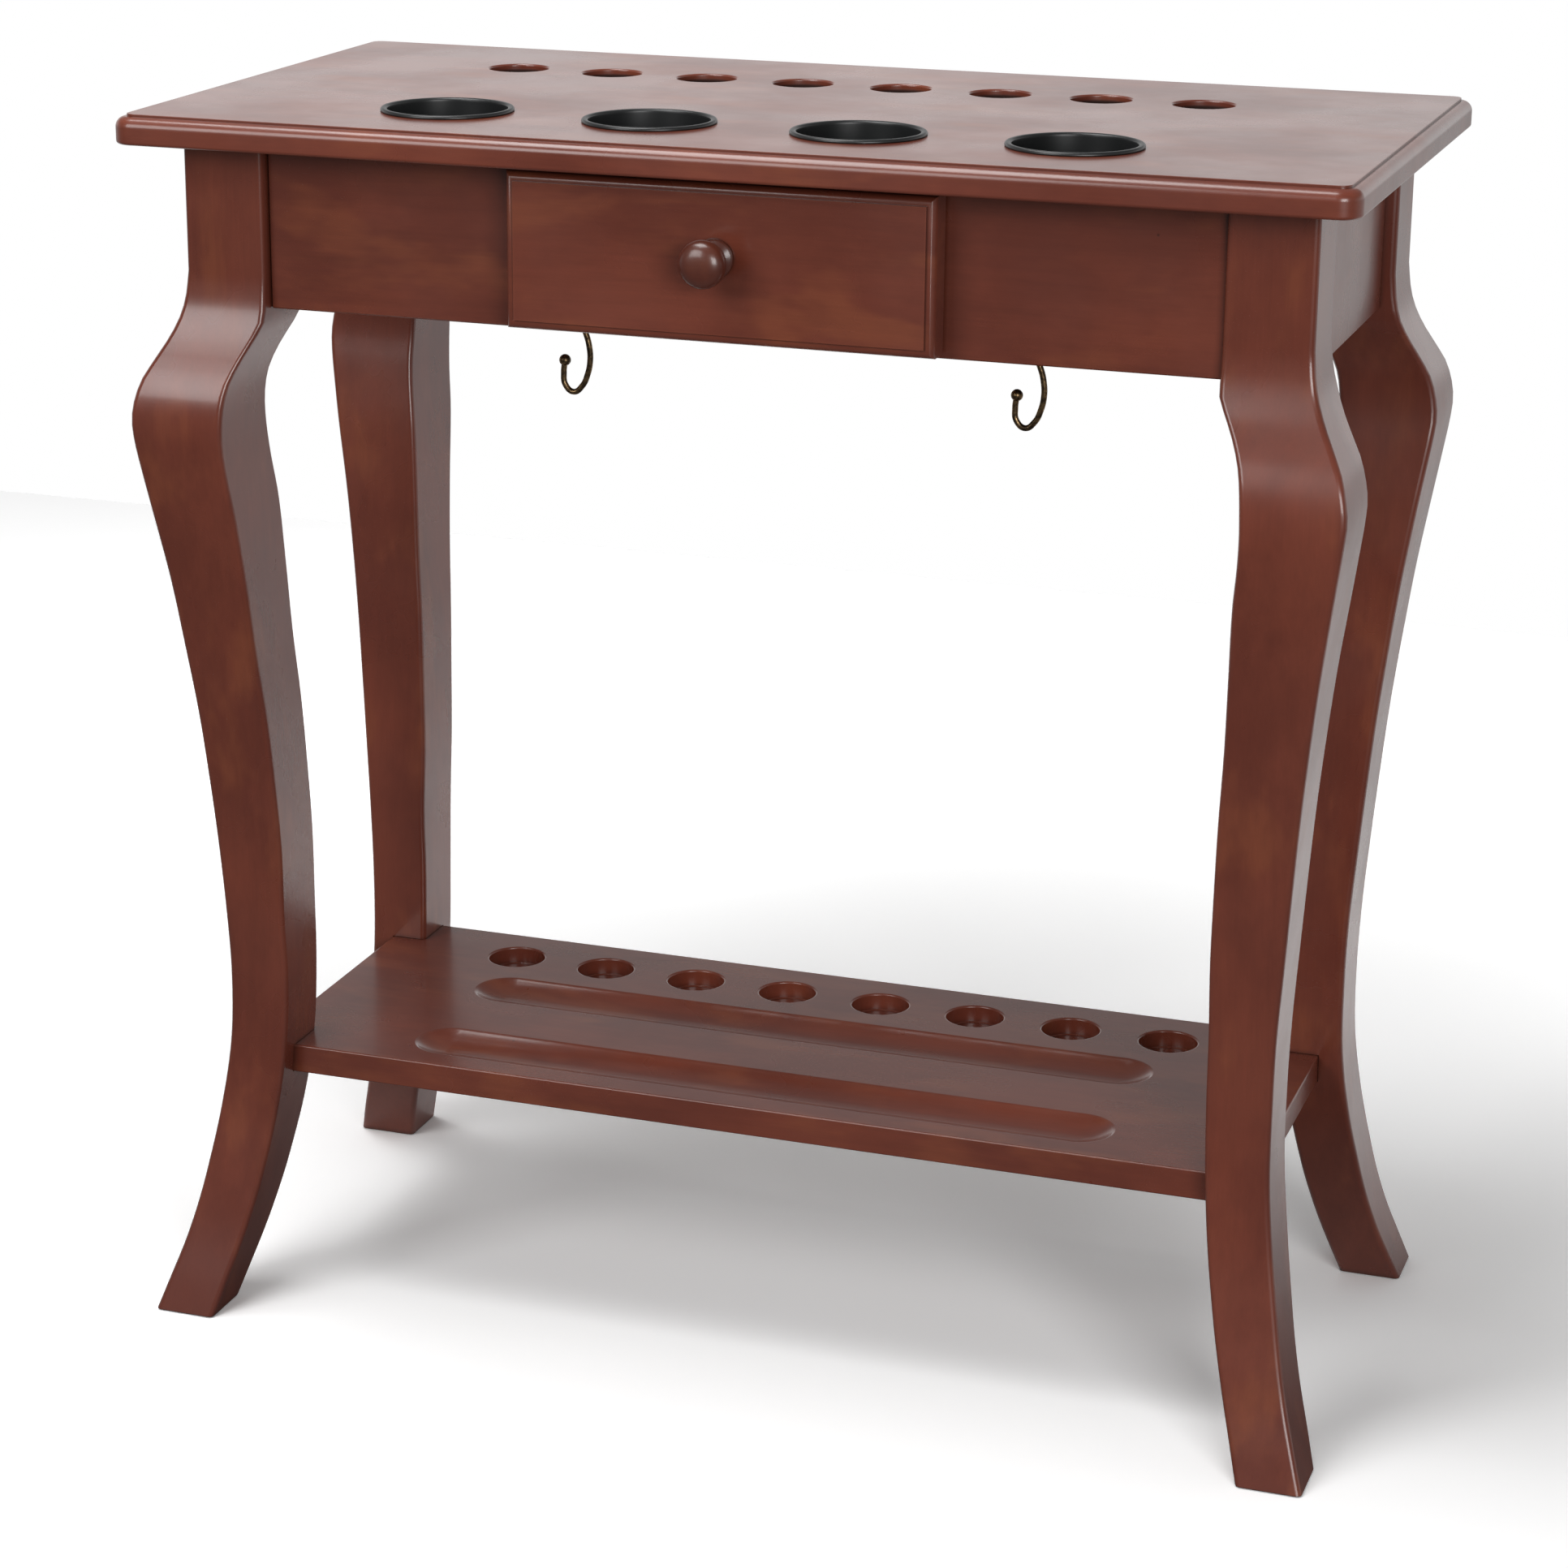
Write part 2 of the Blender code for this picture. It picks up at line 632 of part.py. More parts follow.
def side_apron(side_x, wood):
    """A side apron with a tenon into each leg and a notch for the hook rail."""
    face = side_x * (SIDE_INNER + APRON_THICK)
    inner = side_x * SIDE_INNER
    reach = LEG_INNER_Y - JOINT_GAP
    shape = box_between((face, inner), (-reach, reach), (APRON_BOTTOM, APRON_TOP), BOARD_EDGE)
    middle = (face + inner) / 2
    tenon = box_between(
        (middle - TENON_THICK / 2, middle + TENON_THICK / 2),
        (-LEG_INNER_Y - TENON_LENGTH, LEG_INNER_Y + TENON_LENGTH),
        (APRON_BOTTOM + TENON_SHOULDER, APRON_TOP - TENON_SHOULDER),
    )
    housing = box_between(
        (side_x * (SIDE_INNER - TOOL_CLEAR), side_x * (SIDE_INNER + RAIL_HOUSING)),
        (HOOK_Y - RAIL_WIDTH / 2 - JOINT_GAP, HOOK_Y + RAIL_WIDTH / 2 + JOINT_GAP),
        (APRON_BOTTOM - TOOL_CLEAR, RAIL_TOP + JOINT_GAP),
    )
    shape = cut(join(shape, [tenon]), [housing])
    finish("apron_left" if side_x < 0 else "apron_right", shape, wood)


def corner_block(side_x, side_y, wood):
    """A glued block that wraps the inside corner of the leg and ties it to both aprons."""
    end_inner = (FRONT_INNER if side_y < 0 else BACK_INNER) - JOINT_GAP
    side_inner = SIDE_INNER - JOINT_GAP
    notch_x = LEG_INNER_X - PIN_GAP - JOINT_GAP
    notch_y = LEG_INNER_Y - PIN_GAP - JOINT_GAP
    diagonal = LEG_INNER_X + LEG_INNER_Y - BLOCK_SPAN * math.sqrt(2)
    outline = (
        (diagonal - end_inner, end_inner),
        (notch_x, end_inner),
        (notch_x, notch_y),
        (side_inner, notch_y),
        (side_inner, diagonal - side_inner),
    )
    shape = prism([(side_x * x, side_y * y) for x, y in outline], BLOCK_LOW, APRON_TOP)
    start = BLOCK_SPAN + TOOL_CLEAR
    bolt_start = (
        side_x * (LEG_INNER_X - start / math.sqrt(2)),
        side_y * (LEG_INNER_Y - start / math.sqrt(2)),
        BOLT_Z,
    )
    tools = [
        drill(BOLT_RADIUS + PIN_GAP, bolt_start, (side_x, side_y, 0), start + TOOL_CLEAR, 16),
        drill(
            SCREW_RADIUS + PIN_GAP,
            (side_x * SCREW_X, side_y * SCREW_Y, BLOCK_LOW - TOOL_CLEAR),
            (0, 0, 1),
            TOP_UNDERSIDE - BLOCK_LOW + 2 * TOOL_CLEAR,
            12,
        ),
    ]
    if side_y < 0:
        tools.extend(cup_scallops())
    finish("corner_block_" + CORNER_NAMES[(side_x, side_y)], cut(shape, tools), wood)


def corner_bolt(side_x, side_y, steel):
    """A hexagon-headed bolt through the corner block into the leg."""
    head = 4.5 * MM
    washer = 1.5 * MM
    profile = (
        (4 * MM, -PIN_GAP - washer - head),
        (5 * MM, -PIN_GAP - washer - head + 0.6 * MM),
        (5 * MM, -PIN_GAP - washer),
        (8 * MM, -PIN_GAP - washer),
        (8 * MM, -PIN_GAP),
        (BOLT_RADIUS, -PIN_GAP),
        (BOLT_RADIUS, BLOCK_SPAN + BOLT_IN_LEG - 2 * MM),
        (BOLT_RADIUS * 0.5, BLOCK_SPAN + BOLT_IN_LEG),
    )
    start = (
        side_x * (LEG_INNER_X - BLOCK_SPAN / math.sqrt(2)),
        side_y * (LEG_INNER_Y - BLOCK_SPAN / math.sqrt(2)),
        BOLT_Z,
    )
    shape = turned(profile, start, (side_x, side_y, 0), 12, hexagon=(0, 1, 2))
    finish("corner_bolt_" + CORNER_NAMES[(side_x, side_y)], shape, steel, round_angle=25)


def wood_screw(name, start, axis, grip, bite, steel):
    """A round-headed screw: the head sits just off the surface at start."""
    profile = (
        (2.2 * MM, -PIN_GAP - 2.6 * MM),
        (3.8 * MM, -PIN_GAP - 1.6 * MM),
        (4.2 * MM, -PIN_GAP),
        (SCREW_RADIUS, -PIN_GAP),
        (SCREW_RADIUS, grip + bite - 3 * MM),
        (SCREW_RADIUS * 0.3, grip + bite),
    )
    return finish(name, turned(profile, start, axis, 16), steel, round_angle=35)


def top_screw(side_x, side_y, steel):
    """A screw up through the corner block into the top."""
    start = (side_x * SCREW_X, side_y * SCREW_Y, BLOCK_LOW)
    grip = TOP_UNDERSIDE - BLOCK_LOW
    wood_screw("top_screw_" + CORNER_NAMES[(side_x, side_y)], start, (0, 0, 1), grip, SCREW_BITE, steel)


# ---- shelf ----------------------------------------------------------------------
def trough_tool(row_y):
    """A tool for a round-ended trough with an arc-shaped bottom and an eased rim."""
    half_width = TROUGH_WIDTH / 2
    half_run = TROUGH_LENGTH / 2 - half_width
    arc_radius = (half_width ** 2 + TROUGH_DEPTH ** 2) / (2 * TROUGH_DEPTH)
    rims = [half_width * part for part in (0.2, 0.45, 0.7, 0.87, 1.0)]
    rows = [(rim, arc_radius - TROUGH_DEPTH - math.sqrt(arc_radius ** 2 - rim ** 2)) for rim in rims]
    rows.append((half_width + 0.5 * MM, 2 * MM))
    rings = []
    for rim, drop in rows:
        ring = []
        for end in (1, -1):
            for step in range(11):
                angle = (step / 10 - 0.5) * math.pi
                ring.append((
                    end * (half_run + rim * math.cos(angle)),
                    row_y + end * rim * math.sin(angle),
                    SHELF_TOP + drop,
                ))
        rings.append(ring)
    return skin(rings)


def shelf(wood):
    """The lower shelf: a row of cue sockets and two troughs for balls."""
    shape = box_between((-SHELF_X, SHELF_X), (-SHELF_Y, SHELF_Y), (SHELF_BOTTOM, SHELF_TOP), BOARD_EDGE)
    tools = [trough_tool(row_y) for row_y in TROUGH_ROWS_Y]
    for x in cue_xs(SOCKET_PITCH):
        tools.append(eased_hole(CUE_HOLE / 2, x, SOCKET_Y, SHELF_TOP, SOCKET_DEPTH, 24))
    for side_x, side_y in CORNERS:
        start = (side_x * (SHELF_X + TOOL_CLEAR), side_y * DOWEL_Y, SHELF_MIDDLE)
        length = SHELF_X + TOOL_CLEAR - DOWEL_INSIDE + PIN_GAP
        tools.append(drill(DOWEL_RADIUS + PIN_GAP, start, (-side_x, 0, 0), length, 16))
    finish("shelf", cut(shape, tools), wood, round_angle=35)


def shelf_dowel(side_x, side_y, wood):
    """A dowel from the end of the shelf into the leg."""
    length = DOWEL_OUTSIDE - DOWEL_INSIDE
    tip = 1 * MM
    profile = (
        (DOWEL_RADIUS - tip, 0),
        (DOWEL_RADIUS, tip),
        (DOWEL_RADIUS, length - tip),
        (DOWEL_RADIUS - tip, length),
    )
    start = (side_x * DOWEL_INSIDE, side_y * DOWEL_Y, SHELF_MIDDLE)
    name = "shelf_dowel_" + CORNER_NAMES[(side_x, side_y)]
    finish(name, turned(profile, start, (side_x, 0, 0), 16), wood, round_angle=35)


# ---- hook rail and hooks --------------------------------------------------------
def hook_rail(wood):
    """A board across the frame, its ends let into the side aprons."""
    reach = SIDE_INNER + RAIL_HOUSING - JOINT_GAP
    y_range = (HOOK_Y - RAIL_WIDTH / 2, HOOK_Y + RAIL_WIDTH / 2)
    shape = box_between((-reach, reach), y_range, (RAIL_BOTTOM, RAIL_TOP), BOARD_EDGE)
    tools = []
    for x in (-HOOK_X, HOOK_X):
        depth = TOOL_CLEAR + HOOK_IN_RAIL + PIN_GAP
        tools.append(drill(HOOK_WIRE + PIN_GAP, (x, HOOK_Y, RAIL_BOTTOM - TOOL_CLEAR), (0, 0, 1), depth, 12))
    finish("hook_rail", cut(shape, tools), wood)


def hook_path():
    """Centre line of a hook in its own plane, from the tip round the bowl to the shank."""
    tip = [(-6.3, 22.3), (-6.6, 17)]
    bowl_centre = Vector((-0.3, 9.2))
    bowl = []
    for step in range(9):
        angle = math.radians(200 + step * 17.5)
        bowl.append(bowl_centre + Vector((7.2 * math.cos(angle), 9.2 * math.sin(angle))))
    rise = [(10.3, 13.4), (12.3, 20), (12.7, 27), (11.6, 35), (9, 43), (5.3, 50.3), (1.8, 56), (0.2, 61)]
    return [Vector(point) for point in tip] + bowl + [Vector(point) for point in rise]


def hook(side_x, brass):
    """A wire cup hook: ball tip, bowl, double bend, collar and screw shank, in one piece."""
    bottom = RAIL_BOTTOM - HOOK_HANG
    path = [(point.x * MM, point.y * MM, HOOK_WIRE) for point in hook_path()]
    collar = HOOK_HANG / MM
    for height, radius in (
        (66, HOOK_WIRE),
        (collar - 3.2, HOOK_WIRE),
        (collar - 2.6, 5.2 * MM),
        (collar - 0.3, 6 * MM),
        (collar - 0.3, HOOK_WIRE),
        (collar + HOOK_IN_RAIL / MM - 2, HOOK_WIRE),
        (collar + HOOK_IN_RAIL / MM, 0.6 * MM),
    ):
        path.append((0, height * MM, radius))
    first = Vector(path[0][:2])
    heading = (first - Vector(path[1][:2])).normalized()
    ball = []
    for step in range(7):
        angle = math.radians(step * 24)
        centre = first + heading * HOOK_BALL * math.cos(angle)
        ball.append((centre.x, centre.y, HOOK_BALL * math.sin(angle)))
    path = ball + [row for row in path[1:]]
    rings = []
    for i, (x, z, radius) in enumerate(path):
        middle = Vector((side_x * HOOK_X + x, HOOK_Y, bottom + z))
        if radius == 0:
            rings.append([middle])
            continue
        before = Vector(path[max(i - 1, 0)][:2])
        after = Vector(path[min(i + 1, len(path) - 1)][:2])
        along = (after - before).normalized()
        side = Vector((along.y, 0, -along.x))
        if i < len(ball):
            side = Vector((-heading.y, 0, heading.x))
        ring = []
        for step in range(10):
            angle = step / 10 * 2 * math.pi
            ring.append(middle + side * radius * math.cos(angle) + Vector((0, radius * math.sin(angle), 0)))
        rings.append(ring)
    finish("hook_left" if side_x < 0 else "hook_right", skin(rings), brass, round_angle=40)


# ---- drawer ---------------------------------------------------------------------
def drawer_runner(side_x, wood):
    """An L-shaped runner: the drawer slides on its foot and is steered by its wall."""
    front = -FRONT_INNER + JOINT_GAP
    back = BACK_INNER - JOINT_GAP
    low = RAIL_TOP + JOINT_GAP
    foot_top = BOX_BOTTOM - JOINT_GAP
    guide_top = foot_top + RUNNER_GUIDE
    outline = (
        (RUNNER_INSIDE, low),
        (RUNNER_OUTSIDE, low),
        (RUNNER_OUTSIDE, guide_top),
        (BOX_HALF + SLIDE_GAP, guide_top),
        (BOX_HALF + SLIDE_GAP, foot_top),
        (RUNNER_INSIDE, foot_top),
    )
    shape = skin([[(side_x * x, y, z) for x, z in outline] for y in (front, back)])
    finish("drawer_runner_left" if side_x < 0 else "drawer_runner_right", shape, wood)


def drawer_front(wood):
    """The overlapping drawer front: a raised field inside a rounded lip."""
    back = BOX_FRONT_FACE - JOINT_GAP
    field = DRAWER_FACE
    lip_face = field + DRAWER_STEP
    lip_round = DRAWER_LIP - 0.8 * MM
    rows = [(0.0, back)]
    for step in range(5):
        angle = step / 4 * math.pi / 2
        rows.append((lip_round * (1 - math.cos(angle)), lip_face + lip_round * (1 - math.sin(angle))))
    rows.append((DRAWER_LIP, lip_face))
    rows.append((DRAWER_LIP, field))
    rings = []
    for inset, y in rows:
        half = DRAWER_FRONT_HALF - inset
        low = DRAWER_FRONT_BOTTOM + inset
        high = DRAWER_FRONT_TOP - inset
        level = rounded_rectangle((-half, half), (low, high), DRAWER_CORNER, y, 2)
        rings.append([(x, y_level, z) for x, z, y_level in level])
    screw_hole = SCREW_RADIUS + PIN_GAP
    inside = back + TOOL_CLEAR
    tools = [drill(screw_hole, (0, inside, KNOB_Z), (0, -1, 0), DRAWER_FRONT_THICK + 2 * TOOL_CLEAR, 12)]
    for x in (-FRONT_SCREW_X, FRONT_SCREW_X):
        depth = TOOL_CLEAR + SCREW_BITE + PIN_GAP
        tools.append(drill(screw_hole, (x, inside, KNOB_Z), (0, -1, 0), depth, 12))
    finish("drawer_front", cut(skin(rings), tools), wood, pivot=DRAWER_PIVOT, round_angle=35)


def drawer_box(wood):
    """Two sides, a front, a back and a thin bottom panel held in grooves."""
    inner = BOX_HALF - BOX_BOARD
    front_back = BOX_FRONT_FACE + BOX_BOARD
    panel_low = PANEL_Z - JOINT_GAP
    panel_high = PANEL_Z + PANEL_THICK + JOINT_GAP
    for side_x, name in ((-1, "drawer_side_left"), (1, "drawer_side_right")):
        x_range = (side_x * inner, side_x * BOX_HALF)
        board = box_between(x_range, (BOX_FRONT_FACE, BOX_BACK), (BOX_BOTTOM, BOX_TOP), BOX_EDGE)
        slot = box_between(
            (side_x * (inner - TOOL_CLEAR), side_x * (inner + PANEL_GROOVE)),
            (BOX_FRONT_FACE + PANEL_GROOVE - JOINT_GAP, BOX_BACK + TOOL_CLEAR),
            (panel_low, panel_high),
        )
        finish(name, cut(board, [slot]), wood, pivot=DRAWER_PIVOT)
    reach = inner - JOINT_GAP
    board = box_between((-reach, reach), (BOX_FRONT_FACE, front_back), (BOX_BOTTOM, BOX_TOP), BOX_EDGE)
    tools = [
        box_between(
            (-reach - TOOL_CLEAR, reach + TOOL_CLEAR),
            (BOX_FRONT_FACE + PANEL_GROOVE - JOINT_GAP, front_back + TOOL_CLEAR),
            (panel_low, panel_high),
        )
    ]
    for x in (-FRONT_SCREW_X, 0, FRONT_SCREW_X):
        start = (x, front_back + TOOL_CLEAR, KNOB_Z)
        tools.append(drill(SCREW_RADIUS + PIN_GAP, start, (0, -1, 0), BOX_BOARD + 2 * TOOL_CLEAR, 12))
    finish("drawer_box_front", cut(board, tools), wood, pivot=DRAWER_PIVOT)
    board = box_between((-reach, reach), (BOX_BACK - BOX_BOARD, BOX_BACK), (panel_high, BOX_TOP), BOX_EDGE)
    finish("drawer_back", board, wood, pivot=DRAWER_PIVOT)
    half = inner + PANEL_GROOVE - JOINT_GAP
    panel = box_between(
        (-half, half),
        (BOX_FRONT_FACE + PANEL_GROOVE, BOX_BACK - JOINT_GAP),
        (PANEL_Z, PANEL_Z + PANEL_THICK),
    )
    finish("drawer_bottom", panel, wood, pivot=DRAWER_PIVOT)


def drawer_hardware(steel, rubber):
    """Screws that hold the front and the knob, and the rubber stops behind the lip."""
    inside = BOX_FRONT_FACE + BOX_BOARD
    grip = BOX_BOARD + JOINT_GAP
    for side_x, name in ((-1, "front_screw_left"), (1, "front_screw_right")):
        start = (side_x * FRONT_SCREW_X, inside, KNOB_Z)
        screw = wood_screw(name, start, (0, -1, 0), grip, SCREW_BITE, steel)
        move_pivot(screw)
    grip += DRAWER_FRONT_THICK
    screw = wood_screw("knob_screw", (0, inside, KNOB_Z), (0, -1, 0), grip, SCREW_BITE, steel)
    move_pivot(screw)
    for side_x, name in ((-1, "drawer_bumper_left"), (1, "drawer_bumper_right")):
        gap = 0.15 * MM
        profile = (
            (BUMPER_RADIUS, JOINT_GAP / 2),
            (BUMPER_RADIUS, BUMPER_THICK - gap),
            (BUMPER_RADIUS - 1 * MM, BUMPER_THICK + JOINT_GAP - gap),
        )
        start = (side_x * BUMPER_X, BOX_FRONT_FACE - JOINT_GAP, BUMPER_Z)
        finish(name, turned(profile, start, (0, 1, 0), 20), rubber, pivot=DRAWER_PIVOT, round_angle=35)


def move_pivot(piece):
    """Give a drawer piece the same origin as the rest of the drawer."""
    pivot = Vector(DRAWER_PIVOT) + Vector((0, SET_BACK, 0))
    piece.data.transform(Matrix.Translation(-pivot))
    piece.location = pivot


def drawer_knob(wood):
    """The turned knob: a ringed base, a waist and a domed head."""
    rows = (
        (12.5, JOINT_GAP / MM),
        (12.8, 2.2),
        (11.5, 4),
        (8, 5.4),
        (6.9, 8),
        (7, 11),
        (9, 14.2),
        (12.4, 17),
        (14.9, 20.3),
        (15.8, 24),
        (15.2, 27.6),
        (12.8, 30.8),
        (8.8, 33),
        (4.4, 33.9),
        (0, KNOB_REACH / MM),
    )
    profile = [(radius * MM, reach * MM) for radius, reach in rows]
    shape = turned(profile, (0, DRAWER_FACE, KNOB_Z), (0, -1, 0), 24)
    start = (0, DRAWER_FACE + TOOL_CLEAR, KNOB_Z)
    hole = drill(SCREW_RADIUS + PIN_GAP, start, (0, -1, 0), TOOL_CLEAR + SCREW_BITE + PIN_GAP, 12)
    finish("drawer_knob", cut(shape, [hole]), wood, pivot=DRAWER_PIVOT, round_angle=40)


# ---- cups -----------------------------------------------------------------------
def cup_liner(number, x, plastic):
    """A drop-in cup that hangs by its flange: straight mouth, ledge and lower bowl."""
    inner = CUP_OUTER_RADIUS - CUP_WALL
    lower = inner - 2.5 * MM
    flange_low = TOP_HEIGHT + PIN_GAP
    flange_high = flange_low + CUP_FLANGE_THICK
    floor = CUP_BOTTOM + CUP_WALL
    rows = (
        (0, CUP_BOTTOM),
        (CUP_OUTER_RADIUS - 5 * MM, CUP_BOTTOM),
        (CUP_OUTER_RADIUS - 2.5 * MM, CUP_LEDGE_Z - CUP_WALL - 1 * MM),
        (CUP_OUTER_RADIUS, CUP_LEDGE_Z - CUP_WALL + 1 * MM),
        (CUP_OUTER_RADIUS, flange_low),
        (CUP_FLANGE_RADIUS, flange_low),
        (CUP_FLANGE_RADIUS, flange_low + CUP_FLANGE_THICK * 0.4),
        (CUP_FLANGE_RADIUS - 1.6 * MM, flange_high),
        (CUP_MOUTH_RADIUS + 0.6 * MM, flange_high),
        (CUP_MOUTH_RADIUS - 0.4 * MM, flange_high - 0.9 * MM),
        (inner, flange_high - 2.5 * MM),
        (inner, CUP_LEDGE_Z),
        (lower, CUP_LEDGE_Z),
        (lower - 2.5 * MM, floor),
        (0, floor),
    )
    shape = turned(rows, (x, CUP_ROW_Y, 0), (0, 0, 1), 32)
    finish("cup_liner_%d" % number, shape, plastic, pivot=(x, CUP_ROW_Y, TOP_HEIGHT), round_angle=35)


# ---- assembly -------------------------------------------------------------------
def clear_scene():
    """Start from an empty scene."""
    for item in list(bpy.data.objects):
        bpy.data.objects.remove(item)


def main():
    """Build every piece of the stand."""
    clear_scene()
    wood = stained_wood()
    plain = pale_wood()
    steel = fastener_steel()
    tabletop(wood)
    glides = glide_plastic()
    for side_x, side_y in CORNERS:
        leg(side_x, side_y, wood)
        foot_glide(side_x, side_y, glides)
        corner_block(side_x, side_y, plain)
        corner_bolt(side_x, side_y, steel)
        top_screw(side_x, side_y, steel)
        shelf_dowel(side_x, side_y, plain)
    front_apron(wood)
    back_apron(wood)
    brass = hook_brass()
    for side_x in (-1, 1):
        side_apron(side_x, wood)
        drawer_runner(side_x, plain)
        hook(side_x, brass)
    hook_rail(wood)
    shelf(wood)
    drawer_front(wood)
    drawer_box(plain)
    drawer_hardware(steel, bumper_rubber())
    drawer_knob(knob_wood())
    plastic = cup_plastic()
    for number, x in enumerate(cup_xs(), start=1):
        cup_liner(number, x, plastic)


main()
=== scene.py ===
"""Finished look of a billiard cue stand.

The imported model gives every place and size.  The shaped pieces (top, legs, shelf, drawer
front, knob, cups and hooks) are modelled again here with rounded edges and finer curves,
the flat boards and fasteners keep their own meshes, and everything gets its finish:
stained and lacquered wood, plain wood, black plastic, antique brass, steel and rubber.
"""
import logging
import math
from collections.abc import Callable, Iterable, Sequence
from dataclasses import dataclass, field
from enum import Enum

import bpy
from mathutils import Matrix, Vector


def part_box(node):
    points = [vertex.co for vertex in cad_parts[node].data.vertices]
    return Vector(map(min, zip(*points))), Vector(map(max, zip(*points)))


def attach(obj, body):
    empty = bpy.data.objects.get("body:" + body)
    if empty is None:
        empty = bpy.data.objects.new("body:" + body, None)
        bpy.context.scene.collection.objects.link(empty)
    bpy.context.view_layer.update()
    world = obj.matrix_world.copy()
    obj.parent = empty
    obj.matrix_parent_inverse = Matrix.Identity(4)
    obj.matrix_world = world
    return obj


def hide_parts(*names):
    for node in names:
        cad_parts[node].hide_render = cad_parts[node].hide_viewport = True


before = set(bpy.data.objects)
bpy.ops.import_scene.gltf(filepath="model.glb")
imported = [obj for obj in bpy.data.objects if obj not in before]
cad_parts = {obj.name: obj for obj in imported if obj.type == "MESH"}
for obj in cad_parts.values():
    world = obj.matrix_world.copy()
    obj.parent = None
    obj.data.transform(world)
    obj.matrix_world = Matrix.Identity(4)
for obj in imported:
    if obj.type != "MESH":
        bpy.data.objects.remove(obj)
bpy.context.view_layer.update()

MM = 0.001
SHARP_ANGLE = 32.0
GAP = 0.3 * MM
LAID_ALONG_X = Matrix.Rotation(math.pi / 2, 4, "Y")
LAID_ALONG_Y = Matrix.Rotation(math.pi / 2, 4, "X")
LOG = logging.getLogger("cue_stand")

Row = tuple[float, float]
Colour = tuple[float, float, float]
Piece = bpy.types.Object
Socket = bpy.types.NodeSocket
Outputs = bpy.types.bpy_prop_collection
Test = Callable[[Vector, Vector], bool]


class Corner(Enum):
    """The four corners of the leg frame: name, side along X, side along Y."""

    FRONT_LEFT = ("front_left", -1, -1)
    FRONT_RIGHT = ("front_right", 1, -1)
    BACK_RIGHT = ("back_right", 1, 1)
    BACK_LEFT = ("back_left", -1, 1)


class Grain(Enum):
    """The direction the wood's grain runs in, as the turn that lays it along X."""

    ALONG_X = (0.0, 0.0, 0.0)
    ALONG_Y = (0.0, 0.0, math.pi / 2)
    ALONG_Z = (0.0, math.pi / 2, 0.0)


class Body(Enum):
    """Bodies that pieces move with."""

    STAND = "stand"
    DRAWER = "drawer"


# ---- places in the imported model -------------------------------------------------
def bounds_of(node: str) -> tuple[Vector, Vector, Vector]:
    """Lowest corner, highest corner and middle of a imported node's box."""
    low, high = (Vector(corner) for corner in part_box(node))
    return low, high, (low + high) / 2


def middle_of(node: str) -> Vector:
    """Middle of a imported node's box."""
    return bounds_of(node)[2]


# ---- modelling by hand ----------------------------------------------------------
def mode(name: str) -> None:
    """Go into edit mode or back to object mode."""
    bpy.ops.object.mode_set(mode=name)


def deselect() -> None:
    """Leave edit mode and select nothing."""
    if bpy.context.object and bpy.context.object.mode != "OBJECT":
        mode("OBJECT")
    bpy.ops.object.select_all(action="DESELECT")


def activate(piece: Piece) -> None:
    """Make one piece the only selected one."""
    deselect()
    piece.select_set(True)
    bpy.context.view_layer.objects.active = piece


def fresh(name: str) -> Piece:
    """Name the primitive just added and settle its place into its mesh.

    Args:
        name: the piece's name.

    Returns:
        The new object, at the origin, unturned and unscaled.
    """
    piece = bpy.context.object
    piece.name = name
    piece.data.name = name
    bpy.ops.object.transform_apply(location=True, rotation=True, scale=True)
    return piece


def block(name: str, low: Sequence[float], high: Sequence[float]) -> Piece:
    """A block between two corners.

    Args:
        name: the piece's name.
        low: its lowest corner.
        high: its highest corner.

    Returns:
        The new object.
    """
    deselect()
    low_corner = Vector(min(a, b) for a, b in zip(low, high))
    high_corner = Vector(max(a, b) for a, b in zip(low, high))
    bpy.ops.mesh.primitive_cube_add(
        size=1, location=(low_corner + high_corner) / 2, scale=high_corner - low_corner
    )
    return fresh(name)


def pick(piece: Piece, parts: str, test: Test) -> None:
    """Select the vertices, edges or faces that pass a test, and nothing else, in edit mode.

    Args:
        piece: the object, which becomes the active one.
        parts: "VERT", "EDGE" or "FACE".
        test: called with a part's middle and its normal; for an edge the second
            argument is the edge's direction.
    """
    activate(piece)
    mode("EDIT")
    bpy.ops.mesh.select_mode(type=parts)
    bpy.ops.mesh.select_all(action="DESELECT")
    mode("OBJECT")
    if parts == "VERT":
        for vertex in piece.data.vertices:
            vertex.select = test(vertex.co, vertex.normal)
    elif parts == "EDGE":
        for edge in piece.data.edges:
            a, b = (piece.data.vertices[i].co for i in edge.vertices)
            edge.select = test((a + b) / 2, (b - a).normalized())
    else:
        for face in piece.data.polygons:
            face.select = test(face.center, face.normal)
    mode("EDIT")


def round_edges(piece: Piece, test: Test, radius: float, segments: int) -> None:
    """Round over the edges whose middle and direction pass a test."""
    pick(piece, "EDGE", test)
    bpy.ops.mesh.bevel(offset=radius, segments=segments, affect="EDGES")
    mode("OBJECT")


def tidy(piece: Piece, sharp_angle: float = SHARP_ANGLE) -> None:
    """Close the seams, turn the faces outwards and shade the round parts smooth.

    Args:
        piece: the object.
        sharp_angle: edges sharper than this many degrees stay sharp.
    """
    activate(piece)
    mode("EDIT")
    bpy.ops.mesh.select_all(action="SELECT")
    bpy.ops.mesh.remove_doubles(threshold=0.00001)
    bpy.ops.mesh.normals_make_consistent(inside=False)
    mode("OBJECT")
    bpy.ops.object.shade_smooth_by_angle(angle=math.radians(sharp_angle))


